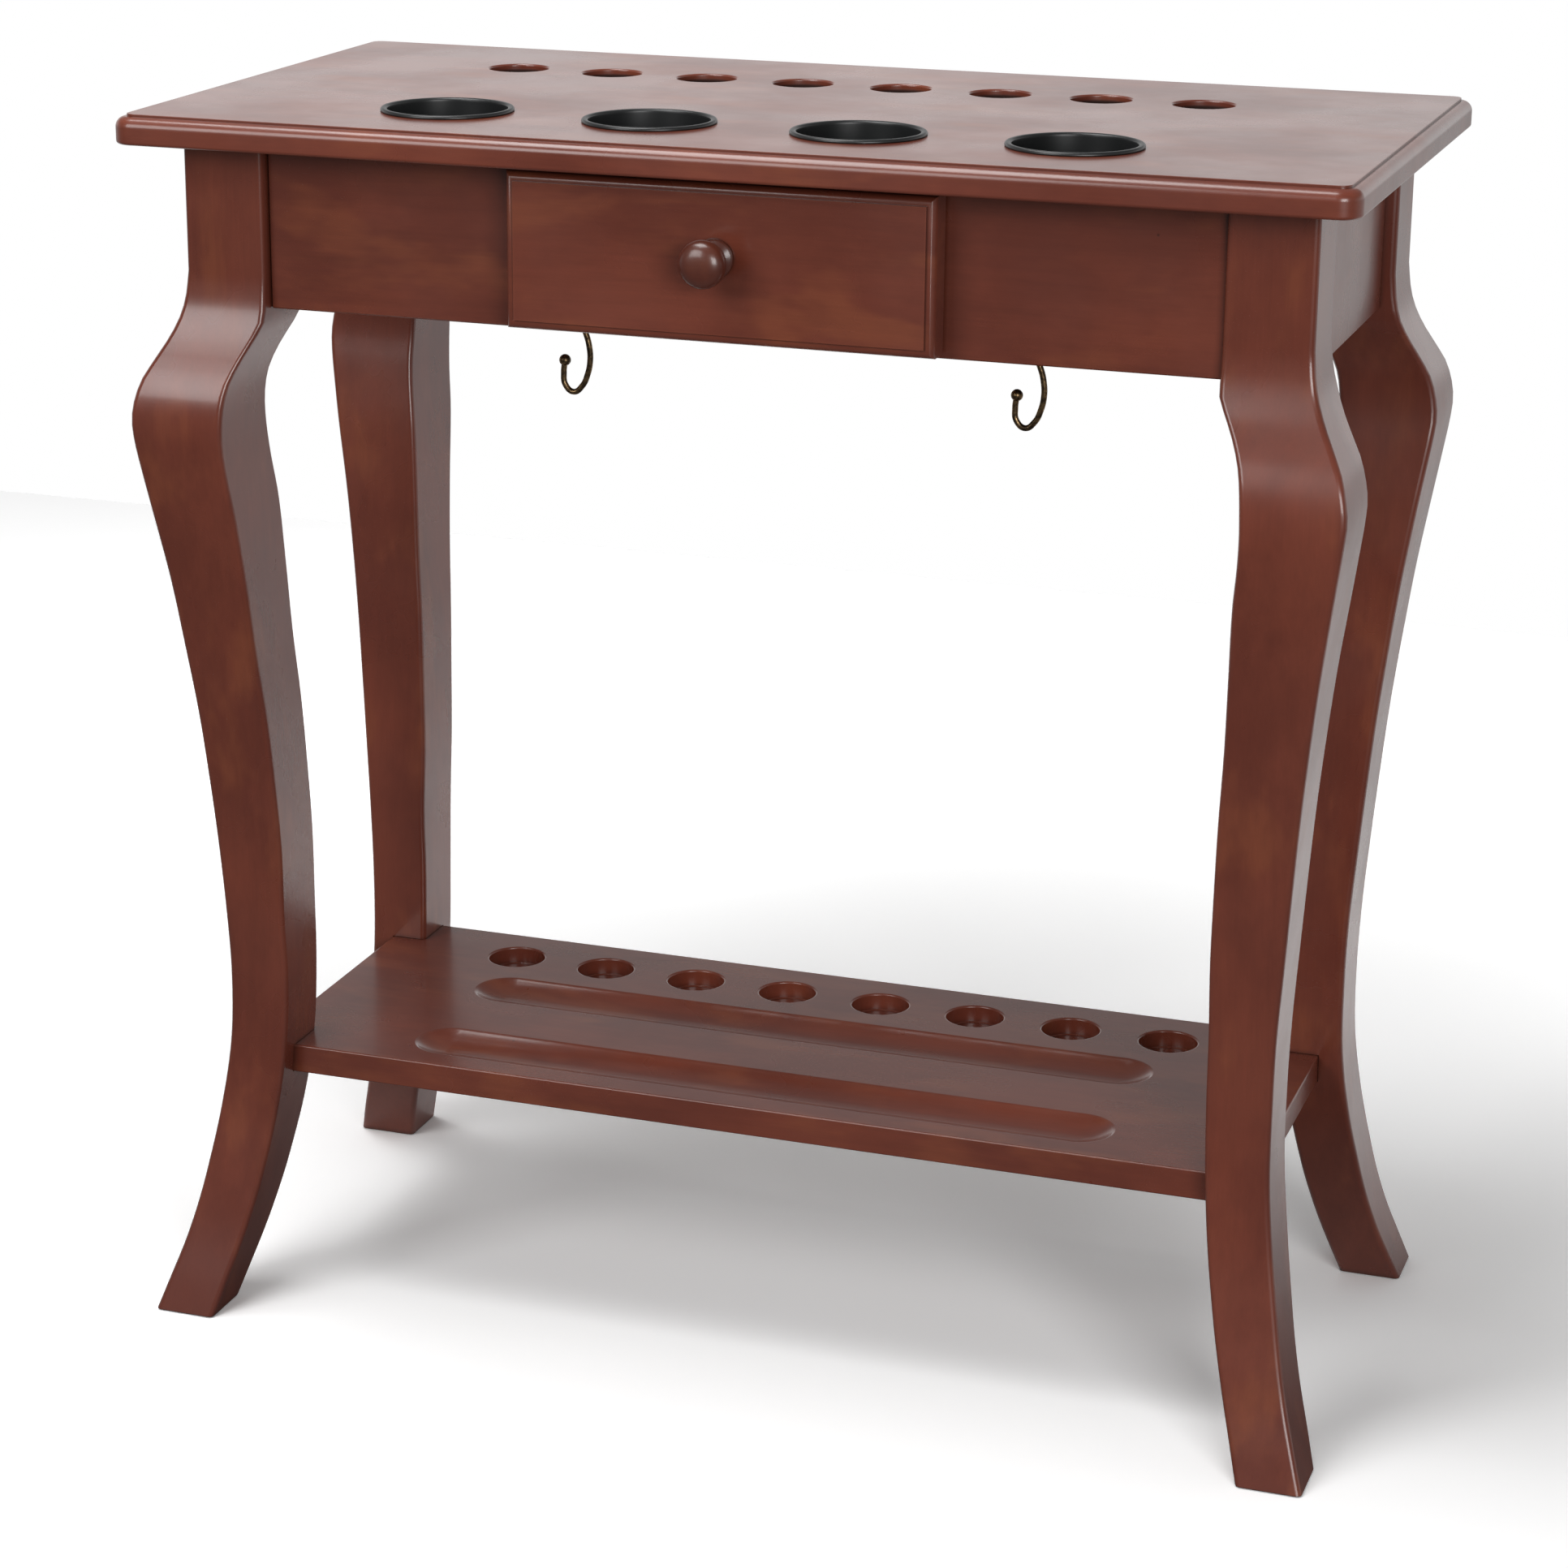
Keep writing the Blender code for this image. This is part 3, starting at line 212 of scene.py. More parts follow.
def even_shading(piece: Piece) -> None:
    """Keep large flat faces flat beside small rounded edges."""
    activate(piece)
    weighted = piece.modifiers.new("even", "WEIGHTED_NORMAL")
    weighted.keep_sharp = True
    bpy.ops.object.modifier_apply(modifier=weighted.name)


def carve(piece: Piece, cutters: Iterable[Piece], join: bool = False) -> None:
    """Cut shapes out of a piece, or join them to it; the cutters are used up.

    Args:
        piece: the object that is cut.
        cutters: closed objects.
        join: add the shapes instead.
    """
    for cutter in cutters:
        activate(piece)
        modifier = piece.modifiers.new("carve", "BOOLEAN")
        modifier.operation = "UNION" if join else "DIFFERENCE"
        modifier.solver = "EXACT"
        modifier.object = cutter
        bpy.ops.object.modifier_apply(modifier=modifier.name)
        bpy.data.objects.remove(cutter)


def cut(piece: Piece, cutters: Iterable[Piece], sharp_angle: float = SHARP_ANGLE) -> None:
    """Cut shapes out of a piece and clean and shade what is left."""
    carve(piece, cutters)
    tidy(piece, sharp_angle)
    even_shading(piece)


def turn(name: str, rows: Sequence[Row], foot: Sequence[float], sides: int) -> Piece:
    """A shape turned about an upright axis, drawn up ring by ring.

    Args:
        name: the piece's name.
        rows: radius and height of each ring.
        foot: where height zero lies on the axis.
        sides: points round the ring.

    Returns:
        The closed object.
    """
    deselect()
    radius, height = rows[0]
    base = (0, 0, height)
    bpy.ops.mesh.primitive_circle_add(vertices=sides, radius=radius, fill_type="NGON", location=base)
    piece = fresh(name)
    mode("EDIT")
    bpy.ops.mesh.select_mode(type="FACE")
    bpy.ops.mesh.select_all(action="SELECT")
    for next_radius, next_height in rows[1:]:
        rise = (0, 0, next_height - height)
        bpy.ops.mesh.extrude_region_move(TRANSFORM_OT_translate={"value": rise})
        share = next_radius / radius
        bpy.ops.transform.resize(value=(share, share, 1), center_override=(0, 0, next_height))
        radius, height = next_radius, next_height
    mode("OBJECT")
    bpy.ops.object.select_all(action="DESELECT")
    tidy(piece)
    place(piece, Matrix.Translation(foot))
    return piece


def place(piece: Piece, where: Matrix) -> None:
    """Move a piece and settle its place into its mesh."""
    activate(piece)
    piece.matrix_world = where
    bpy.ops.object.transform_apply(location=True, rotation=True, scale=True)


def copy_of(piece: Piece, name: str) -> Piece:
    """A copy of a piece with a mesh of its own."""
    twin = piece.copy()
    twin.data = piece.data.copy()
    twin.name = name
    twin.data.name = name
    bpy.context.scene.collection.objects.link(twin)
    return twin


def mirrored(piece: Piece, name: str, side_x: int, side_y: int) -> Piece:
    """A mirror image of a piece, its faces turned outwards again.

    Args:
        piece: the object to copy.
        name: the copy's name.
        side_x: -1 mirrors left to right.
        side_y: -1 mirrors front to back.

    Returns:
        The copy.
    """
    twin = copy_of(piece, name)
    place(twin, Matrix.Diagonal((side_x, side_y, 1, 1)))
    tidy(twin)
    return twin


def quarter_round(radius: float, steps: int) -> list[Row]:
    """Insets and rises that round an edge over, one for each step.

    Args:
        radius: of the rounding.
        steps: how many flats make the quarter.

    Returns:
        The change in inset and in height at each step.
    """
    moves = []
    for step in range(steps):
        a = step / steps * math.pi / 2
        b = (step + 1) / steps * math.pi / 2
        moves.append((radius * (math.cos(a) - math.cos(b)), radius * (math.sin(b) - math.sin(a))))
    return moves


def draw_in(moves: Iterable[Row]) -> None:
    """Inset the selected face again and again, raising it each time."""
    for inset, rise in moves:
        bpy.ops.mesh.inset(thickness=inset, depth=rise, use_even_offset=True)


def round_face(piece: Piece, test: Test, radius: float, steps: int) -> None:
    """Round over the rim of the face whose middle and normal pass a test."""
    pick(piece, "FACE", test)
    draw_in(quarter_round(radius, steps))
    mode("OBJECT")


def raise_field(
    piece: Piece, facing: Vector, rim: tuple[float, int], ledge: float, step: float, ease: float
) -> None:
    """Round the rim of a face and raise the field inside it by a small step.

    Args:
        piece: the object.
        facing: the way the face looks.
        rim: radius of the rim's rounding and how many flats it has.
        ledge: width of the flat at the foot of the step.
        step: how far the field is raised.
        ease: rounding of the field's edge.
    """
    pick(piece, "FACE", lambda middle, normal: normal.dot(facing) > 0.9)
    draw_in(quarter_round(*rim))
    bpy.ops.mesh.inset(thickness=ledge)
    bpy.ops.mesh.extrude_region_move(TRANSFORM_OT_translate={"value": facing * (step - ease)})
    draw_in(quarter_round(ease, 3))
    mode("OBJECT")


def rod(
    radius: float, length: float, start: Sequence[float], sides: int, turned: Matrix = Matrix.Identity(4)
) -> Piece:
    """A plain round tool.

    Args:
        radius: of the hole it cuts.
        length: of the tool.
        start: middle of its first end.
        sides: points round it.
        turned: how the upright tool is laid down.

    Returns:
        The tool.
    """
    tool = turn("tool", [(radius, 0), (radius, length)], (0, 0, 0), sides)
    place(tool, Matrix.Translation(start) @ turned)
    return tool


def eased_cutter(name: str, radius: float, ease: float, rim: Sequence[float], depth: float) -> Piece:
    """A tool for a round hole with its rim rounded over.

    Args:
        name: the tool's name.
        radius: of the hole.
        ease: radius of the rounding.
        rim: middle of the hole at the face it is cut in.
        depth: how deep the hole goes.

    Returns:
        The tool.
    """
    rows = [(radius - 0.8 * MM, -depth), (radius, -depth + 0.8 * MM)]
    for step in range(7):
        angle = step / 6 * math.pi / 2
        rows.append((radius + ease * (1 - math.cos(angle)), ease * (math.sin(angle) - 1)))
    rows.append((radius + ease, ease))
    return turn(name, rows, rim, 64)


def show(piece: Piece, body: str, slot: str, *nodes: str) -> None:
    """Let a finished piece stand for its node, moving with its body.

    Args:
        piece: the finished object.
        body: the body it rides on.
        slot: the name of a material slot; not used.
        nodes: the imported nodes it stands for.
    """
    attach(piece, body)
    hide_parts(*nodes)
    LOG.info("%s: %d faces", piece.name, len(piece.data.polygons))


# ---- node work ------------------------------------------------------------------
class Wiring:
    """Adds and joins shader nodes in one tree."""

    def __init__(self, tree: bpy.types.NodeTree) -> None:
        """Keep the tree to work in."""
        self.tree = tree

    def join(self, node: bpy.types.Node, inputs: dict) -> bpy.types.Node:
        """Set a node's inputs, given by name or number, to values or sockets."""
        for key, value in inputs.items():
            if isinstance(value, Socket):
                self.tree.links.new(value, node.inputs[key])
            else:
                node.inputs[key].default_value = value
        return node

    def add(self, kind: str, inputs: dict | None = None, **settings: object) -> bpy.types.Node:
        """Add a node.

        Args:
            kind: the node's type without "ShaderNode".
            inputs: values or sockets by input name or number.
            settings: properties of the node.

        Returns:
            The node.
        """
        node = self.tree.nodes.new("ShaderNode" + kind)
        for key, value in settings.items():
            setattr(node, key, value)
        return self.join(node, inputs or {})

    def group(self, tree: bpy.types.NodeTree, inputs: dict) -> Outputs:
        """Place a node group and give its outputs."""
        return self.add("Group", inputs, node_tree=tree).outputs

    def maths(self, operation: str, *values: object) -> Socket:
        """A sum or other operation on numbers or sockets."""
        return self.add("Math", dict(enumerate(values)), operation=operation).outputs[0]

    def times(self, a: object, b: object) -> Socket:
        """A product."""
        return self.maths("MULTIPLY", a, b)

    def scaled(self, value: object, factor: object, start: object) -> Socket:
        """A value times a factor, added to a start."""
        return self.maths("MULTIPLY_ADD", value, factor, start)

    def noise(self, vector: Socket, scale: float, detail: float, roughness: float) -> Socket:
        """Cloudy noise read at a vector."""
        inputs = {"Vector": vector, "Scale": scale, "Detail": detail, "Roughness": roughness}
        return self.add("TexNoise", inputs).outputs["Fac"]

    def stretch(self, vector: Socket, scale: Sequence[float]) -> Socket:
        """A vector scaled along each axis."""
        return self.add("Mapping", {"Vector": vector, "Scale": scale}).outputs[0]

    def ramp(self, value: Socket, low: float, high: float) -> Socket:
        """A value eased from 0 at low to 1 at high."""
        inputs = {"Value": value, "From Min": low, "From Max": high}
        return self.add("MapRange", inputs, interpolation_type="SMOOTHSTEP").outputs[0]

    def blend(self, share: object, a: object, b: object, mode: str = "MIX") -> Socket:
        """A mix of two colours."""
        return self.add("Mix", {0: share, 6: a, 7: b}, data_type="RGBA", blend_type=mode).outputs[2]

    def grey(self, level: Socket) -> Socket:
        """The grey of a level."""
        return self.add("CombineColor", {"Red": level, "Green": level, "Blue": level}).outputs[0]

    def end_group(self, results: dict[str, Socket]) -> bpy.types.NodeTree:
        """Give a node group one number output for each result."""
        for key in results:
            self.tree.interface.new_socket(key, in_out="OUTPUT", socket_type="NodeSocketFloat")
        self.join(self.tree.nodes.new("NodeGroupOutput"), results)
        return self.tree


def new_group(name: str, inputs: dict[str, float]) -> tuple[Wiring, Outputs]:
    """Start a shader node group with a Vector input.

    Args:
        name: the group's name.
        inputs: named number inputs and their first values.

    Returns:
        The wiring of the group and the values given to it.
    """
    group = bpy.data.node_groups.new(name, "ShaderNodeTree")
    group.interface.new_socket("Vector", in_out="INPUT", socket_type="NodeSocketVector")
    for key, value in inputs.items():
        group.interface.new_socket(key, in_out="INPUT", socket_type="NodeSocketFloat").default_value = value
    return Wiring(group), group.nodes.new("NodeGroupInput").outputs


class Effects:
    """Node groups that several finishes share."""

    def __init__(self) -> None:
        """Build each group once."""
        self.figure = self.wood_figure()
        self.marks = self.handling_marks()
        self.relief = self.edges_and_corners()

    def wood_figure(self) -> bpy.types.NodeTree:
        """Cloudy stain, long streaks and fine pores of wood whose grain runs along X."""
        wiring, given = new_group("wood_figure", {"Streak Scale": 1.0})
        vector = given["Vector"]
        slow = {"Vector": wiring.stretch(vector, (2.5, 6, 6)), "Scale": 1.0, "Detail": 1.0}
        bend = wiring.add("TexNoise", slow).outputs["Color"]
        offset = wiring.add("VectorMath", {0: bend, 1: (0.035, 0.035, 0.035)}, operation="MULTIPLY")
        bent = wiring.add("VectorMath", {0: vector, 1: offset.outputs[0]}, operation="ADD").outputs[0]
        cloud = wiring.noise(wiring.stretch(bent, (7, 13, 13)), 1.0, 5.0, 0.62)
        warm = wiring.noise(wiring.stretch(bent, (11, 26, 26)), 1.0, 3.0, 0.6)
        wide = wiring.noise(wiring.stretch(bent, (5, 120, 120)), 1.0, 3.0, 0.65)
        fine = wiring.noise(wiring.stretch(vector, (26, 700, 700)), 1.0, 3.0, 0.7)
        streak = wiring.maths("ADD", wiring.times(wide, 0.55), wiring.times(fine, 0.45))
        cells = {"Vector": wiring.stretch(vector, (120, 1500, 1500)), "Scale": 1.0}
        pores = wiring.add("TexVoronoi", cells, feature="F1").outputs["Distance"]
        return wiring.end_group({
            "Cloud": wiring.ramp(cloud, 0.34, 0.68),
            "Warm": wiring.ramp(warm, 0.5, 0.74),
            "Streak": wiring.times(streak, given["Streak Scale"]),
            "Pores": wiring.ramp(pores, 0.02, 0.22),
        })

    def handling_marks(self) -> bpy.types.NodeTree:
        """Small dents, dust and the slow unevenness of a polished coat."""
        wiring, given = new_group("handling_marks", {"Density": 0.13})
        vector = given["Vector"]
        cells = wiring.add("TexVoronoi", {"Vector": vector, "Scale": 38.0, "Randomness": 1.0}, feature="F1")
        chance = wiring.add("SeparateColor", {"Color": cells.outputs["Color"]}).outputs[0]
        rare = wiring.maths("GREATER_THAN", chance, wiring.maths("SUBTRACT", 1.0, given["Density"]))
        near = wiring.maths("SUBTRACT", 1.0, wiring.ramp(cells.outputs["Distance"], 0.015, 0.05))
        dust = wiring.noise(vector, 900.0, 2.0, 0.7)
        haze = wiring.noise(vector, 9.0, 4.0, 0.55)
        return wiring.end_group({
            "Dents": wiring.times(rare, near),
            "Haze": wiring.ramp(haze, 0.3, 0.72),
            "Dust": wiring.ramp(dust, 0.66, 0.8),
        })

    def edges_and_corners(self) -> bpy.types.NodeTree:
        """Where an edge stands out, and where a corner is shut in and is given painted shade."""
        wiring, given = new_group("edges_and_corners", {"Edge Radius": 2.5 * MM, "Crevice Reach": 6 * MM})
        rounded = wiring.add("Bevel", {"Radius": given["Edge Radius"]}, samples=6)
        flat = wiring.add("NewGeometry").outputs["Normal"]
        normals = {0: rounded.outputs[0], 1: flat}
        turned = wiring.add("VectorMath", normals, operation="DOT_PRODUCT").outputs["Value"]
        corner = wiring.add("AmbientOcclusion", {"Distance": given["Crevice Reach"]}, samples=8).outputs["AO"]
        shut = wiring.maths("SUBTRACT", 1.0, corner)
        bent = wiring.maths("SUBTRACT", 1.0, turned)
        return wiring.end_group({
            "Edge": wiring.times(wiring.ramp(bent, 0.01, 0.22), wiring.ramp(corner, 0.75, 0.98)),
            "Crevice Shade": wiring.ramp(shut, 0.12, 0.62),
        })


def new_material(name: str) -> tuple[bpy.types.Material, Wiring, bpy.types.Node]:
    """An empty Principled material.

    Args:
        name: the material's name.

    Returns:
        The material, its wiring and its shader.
    """
    material = bpy.data.materials.new(name)
    material.use_nodes = True
    return material, Wiring(material.node_tree), material.node_tree.nodes["Principled BSDF"]


def own_place(
    wiring: Wiring, turned: Sequence[float] = (0, 0, 0), shift: Sequence[float] = (0, 0, 0)
) -> Socket:
    """Places on the piece, turned so that the grain lies along X.

    Args:
        wiring: the material's wiring.
        turned: the turn about each axis.
        shift: where in the tree the board was cut.

    Returns:
        The vector to read patterns at.
    """
    place_node = wiring.add("TexCoord").outputs["Object"]
    return wiring.add("Mapping", {"Vector": place_node, "Rotation": turned, "Location": shift}).outputs[0]


def dress(
    wiring: Wiring, shader: bpy.types.Node, colour: object, rough: object, relief: tuple[object, float, float]
) -> None:
    """Feed a shader.

    Args:
        wiring: the material's wiring.
        shader: its shader.
        colour: the base colour.
        rough: the roughness.
        relief: height of the fine relief, its strength and its depth in metres.
    """
    bump = wiring.add("Bump", dict(zip(("Height", "Strength", "Distance"), relief))).outputs[0]
    wiring.join(shader, {"Base Color": colour, "Roughness": rough, "Normal": bump})


@dataclass(frozen=True)
class StainedWood:
    """Red-brown stain under satin lacquer, with painted shade in crevices and holes and lighter edges that
    are partly a painted highlight.
    """

    name: str
    grain: Grain
    shift: Sequence[float] = (0.0, 0.0, 0.0)
    dark: Colour = (0.125, 0.028, 0.016)
    middle: Colour = (0.170, 0.040, 0.022)
    warm: Colour = (0.215, 0.058, 0.026)
    # Colour of the lighter edges: partly rubbed wear, partly a painted highlight.
    edge_wear_and_highlight: Colour = (0.220, 0.062, 0.028)
    # Colour of the painted shade in crevices and corners, also used for dents.
    shade: Colour = (0.040, 0.011, 0.006)
    # Colour of the painted shade on the walls of the holes.
    raw: Colour = (0.012, 0.009, 0.008)
    roughness: float = 0.30
    coat: float = 0.35
    coat_roughness: float = 0.14
    glow: float = 1.0
    holes: bool = False

    def hole_walls(self, wiring: Wiring) -> Socket:
        """Find the walls of holes, which get painted shade: faces below the upper side, well inside the
        outline.
        """
        low, high, centre = bounds_of("tabletop")
        spot = wiring.add("TexCoord").outputs["Object"]
        shifted = wiring.add("VectorMath", {0: spot, 1: centre}, operation="SUBTRACT").outputs[0]
        out = wiring.add("SeparateXYZ", {"Vector": shifted}).outputs
        mask = wiring.ramp(out["Z"], high.z - centre.z - 2.6 * MM, high.z - centre.z - 5 * MM)
        for axis, half in (("X", high.x - centre.x), ("Y", high.y - centre.y)):
            inside = wiring.ramp(wiring.maths("ABSOLUTE", out[axis]), half - 20 * MM, half - 24 * MM)
            mask = wiring.times(mask, inside)
        return mask

    def build(self, effects: Effects) -> bpy.types.Material:
        """Make the material.

        Args:
            effects: the shared node groups.

        Returns:
            The material.
        """
        material, wiring, shader = new_material(self.name)
        vector = own_place(wiring, self.grain.value, self.shift)
        figure = wiring.group(effects.figure, {"Vector": vector})
        marks = wiring.group(effects.marks, {"Vector": vector})
        relief = wiring.group(effects.relief, {})
        tones = (self.dark, self.middle, self.warm, self.edge_wear_and_highlight)
        dark, middle, warm, edge_wear_and_highlight = ((*(self.glow * part for part in tone), 1) for tone in tones)
        colour = wiring.blend(figure["Cloud"], dark, middle)
        colour = wiring.blend(wiring.times(figure["Warm"], 0.62), colour, warm)
        streak = wiring.scaled(figure["Streak"], 0.5, 0.75)
        colour = wiring.blend(1.0, colour, wiring.grey(streak), "MULTIPLY")
        # Convex edges turn lighter: partly rubbed wear, partly a painted highlight.
        colour = wiring.blend(wiring.times(relief["Edge"], 0.35), colour, edge_wear_and_highlight)
        # Shut-in corners and crevices turn dark: painted shade, which also stands for the dark lines at the
        # joints.
        colour = wiring.blend(wiring.times(relief["Crevice Shade"], 0.6), colour, (*self.shade, 1))
        colour = wiring.blend(wiring.times(marks["Dents"], 0.7), colour, (*self.shade, 1))
        rough = wiring.scaled(marks["Haze"], 0.10, self.roughness - 0.05)
        rough = wiring.scaled(marks["Dust"], 0.08, rough)
        coating = {"Coat Weight": self.coat, "Coat Roughness": self.coat_roughness, "Coat IOR": 1.5}
        wiring.join(shader, coating)
        # The walls of the holes are painted near-black and dulled: painted shade inside the holes.
        if self.holes:
            walls = self.hole_walls(wiring)
            colour = wiring.blend(wiring.times(walls, 0.9), colour, (*self.raw, 1))
            rough = wiring.scaled(walls, 0.3, rough)
            coat = wiring.scaled(walls, -self.coat, self.coat)
            shine = wiring.scaled(walls, -0.4, 0.5)
            wiring.join(shader, {"Coat Weight": coat, "Specular IOR Level": shine})
        height = wiring.times(figure["Streak"], 0.5)
        height = wiring.scaled(figure["Pores"], 0.35, height)
        height = wiring.scaled(marks["Dents"], -1.6, height)
        height = wiring.scaled(marks["Haze"], 0.3, height)
        dress(wiring, shader, colour, rough, (height, 0.10, 0.4 * MM))
        return material


@dataclass(frozen=True)
class PlainWood:
    """Unstained, sealed wood of the pieces nobody sees."""

    name: str
    grain: Grain
    light: Colour = (0.52, 0.36, 0.21)
    dark: Colour = (0.34, 0.20, 0.105)

    def build(self, effects: Effects) -> bpy.types.Material:
        """Make the material from the shared node groups."""
        material, wiring, shader = new_material(self.name)
        vector = own_place(wiring, self.grain.value, (0.3, 0.1, 0.2))
        figure = wiring.group(effects.figure, {"Vector": vector})
        relief = wiring.group(effects.relief, {})
        colour = wiring.blend(figure["Streak"], (*self.dark, 1), (*self.light, 1))
        # Shut-in corners turn dark: painted shade.
        colour = wiring.blend(wiring.times(relief["Crevice Shade"], 0.4), colour, (*self.dark, 1))
        rough = wiring.scaled(figure["Cloud"], 0.15, 0.5)
        dress(wiring, shader, colour, rough, (figure["Streak"], 0.3, 0.4 * MM))
        return material


@dataclass(frozen=True)
class CupPlastic:
    """Black moulded plastic with a fine even texture."""

    name: str = "cup_plastic_finish"
    colour: Colour = (0.0085, 0.0092, 0.0095)
    worn: Colour = (0.028, 0.029, 0.030)
    roughness: float = 0.36

    def build(self, effects: Effects) -> bpy.types.Material:
        """Make the material from the shared node groups."""
        material, wiring, shader = new_material(self.name)
        vector = own_place(wiring)
        marks = wiring.group(effects.marks, {"Vector": vector})
        relief = wiring.group(effects.relief, {"Edge Radius": 0.001})
        grain = wiring.noise(vector, 2600.0, 2.0, 0.6)
        share = wiring.scaled(marks["Haze"], 0.25, wiring.times(relief["Edge"], 0.6))
        colour = wiring.blend(share, (*self.colour, 1), (*self.worn, 1))
        rough = wiring.scaled(grain, 0.18, self.roughness - 0.09)
        dress(wiring, shader, colour, rough, (grain, 0.12, 0.1 * MM))
        return material


@dataclass(frozen=True)
class Metal:
    """Metal with a darkened film worn bright on its edges."""

    name: str
    bright: Colour
    film: Colour
    roughness: float
    film_scale: float = 240.0

    def build(self, effects: Effects) -> bpy.types.Material:
        """Make the material from the shared node groups."""
        material, wiring, shader = new_material(self.name)
        vector = own_place(wiring)
        relief = wiring.group(effects.relief, {"Edge Radius": 0.0008})
        cloud = wiring.ramp(wiring.noise(vector, self.film_scale, 4.0, 0.6), 0.35, 0.68)
        share = wiring.maths("MAXIMUM", cloud, relief["Edge"])
        colour = wiring.blend(share, (*self.film, 1), (*self.bright, 1))
        rough = wiring.scaled(cloud, -0.12, self.roughness + 0.06)
        fine = wiring.noise(vector, 1800.0, 3.0, 0.7)
        dress(wiring, shader, colour, rough, (fine, 0.15, 0.1 * MM))
        shader.inputs["Metallic"].default_value = 1.0
        return material


@dataclass(frozen=True)
class Matt:
    """Rubber or hard plastic: matt, a little dusty."""

    name: str
    colour: Colour
    dusty: Colour
    roughness: float

    def build(self, effects: Effects) -> bpy.types.Material:
        """Make the material from the shared node groups."""
        material, wiring, shader = new_material(self.name)
        vector = own_place(wiring)
        marks = wiring.group(effects.marks, {"Vector": vector})
        speck = wiring.noise(vector, 1400.0, 3.0, 0.65)
        share = wiring.scaled(marks["Haze"], 0.4, wiring.times(marks["Dust"], 0.5))
        colour = wiring.blend(share, (*self.colour, 1), (*self.dusty, 1))
        rough = wiring.scaled(speck, 0.2, self.roughness - 0.1)
        dress(wiring, shader, colour, rough, (speck, 0.25, 0.2 * MM))
        return material


def paint(piece: Piece, material: bpy.types.Material) -> None:
    """Give a piece one finish all over."""
    if not piece.material_slots:
        piece.data.materials.append(material)
    for slot in piece.material_slots:
        slot.material = material


# ---- the stand ------------------------------------------------------------------
@dataclass
class TableTop:
    """The top: a flat field a small step above a rounded border."""

    corner: float = 15 * MM
    ovolo: float = 7 * MM
    ledge: float = 0.7 * MM
    step: float = 1.8 * MM
    under_round: float = 2.3 * MM
    hole: float = 21.25 * MM
    hole_pitch: float = 72 * MM
    hole_row: float = 101.4 * MM
    columns: int = 8
    cup_hole: float = 42.5 * MM
    screw_hole: float = 2.4 * MM
    ease: float = 1.5 * MM
    field_ease: float = 0.35 * MM

    def build(self) -> Piece:
        """Model the top.

        Returns:
            The finished piece.
        """
        low, high, centre = bounds_of("tabletop")
        edge_low = low.z + self.under_round
        edge_high = high.z - self.step - self.ovolo
        piece = block("tabletop_finished", (low.x, low.y, edge_low), (high.x, high.y, edge_high))
        round_edges(piece, lambda middle, along: abs(along.z) > 0.9, self.corner, 14)
        raise_field(piece, Vector((0, 0, 1)), (self.ovolo, 12), self.ledge, self.step, self.field_ease)
        round_face(piece, lambda middle, normal: normal.z < -0.9, self.under_round, 5)
        tidy(piece)
        thick = high.z - low.z
        spare = 2 * MM
        cutters = []
        for column in range(self.columns):
            x = centre.x + (column - (self.columns - 1) / 2) * self.hole_pitch
            rim = (x, centre.y + self.hole_row, high.z)
            cutters.append(eased_cutter("tool", self.hole, self.ease, rim, thick + spare))
        for number in range(1, 5):
            cup = middle_of(f"cup_liner_{number}")
            cutters.append(rod(self.cup_hole, thick + 2 * spare, (cup.x, cup.y, low.z - spare), 72))
        for corner in Corner:
            screw_low, screw_high, screw = bounds_of("top_screw_" + corner.value[0])
            tip = screw_high.z - low.z
            cutters.append(rod(self.screw_hole, tip + 1.2 * MM, (screw.x, screw.y, low.z - 1 * MM), 16))
        cut(piece, cutters)
        return piece


def dowel_tool(corner_name: str) -> Piece:
    """A tool for the hole of the dowel between the shelf and one leg."""
    low, high, centre = bounds_of("shelf_dowel_" + corner_name)
    return rod(4.3 * MM, high.x - low.x + 2 * GAP, (low.x - GAP, centre.y, centre.z), 24, LAID_ALONG_X)


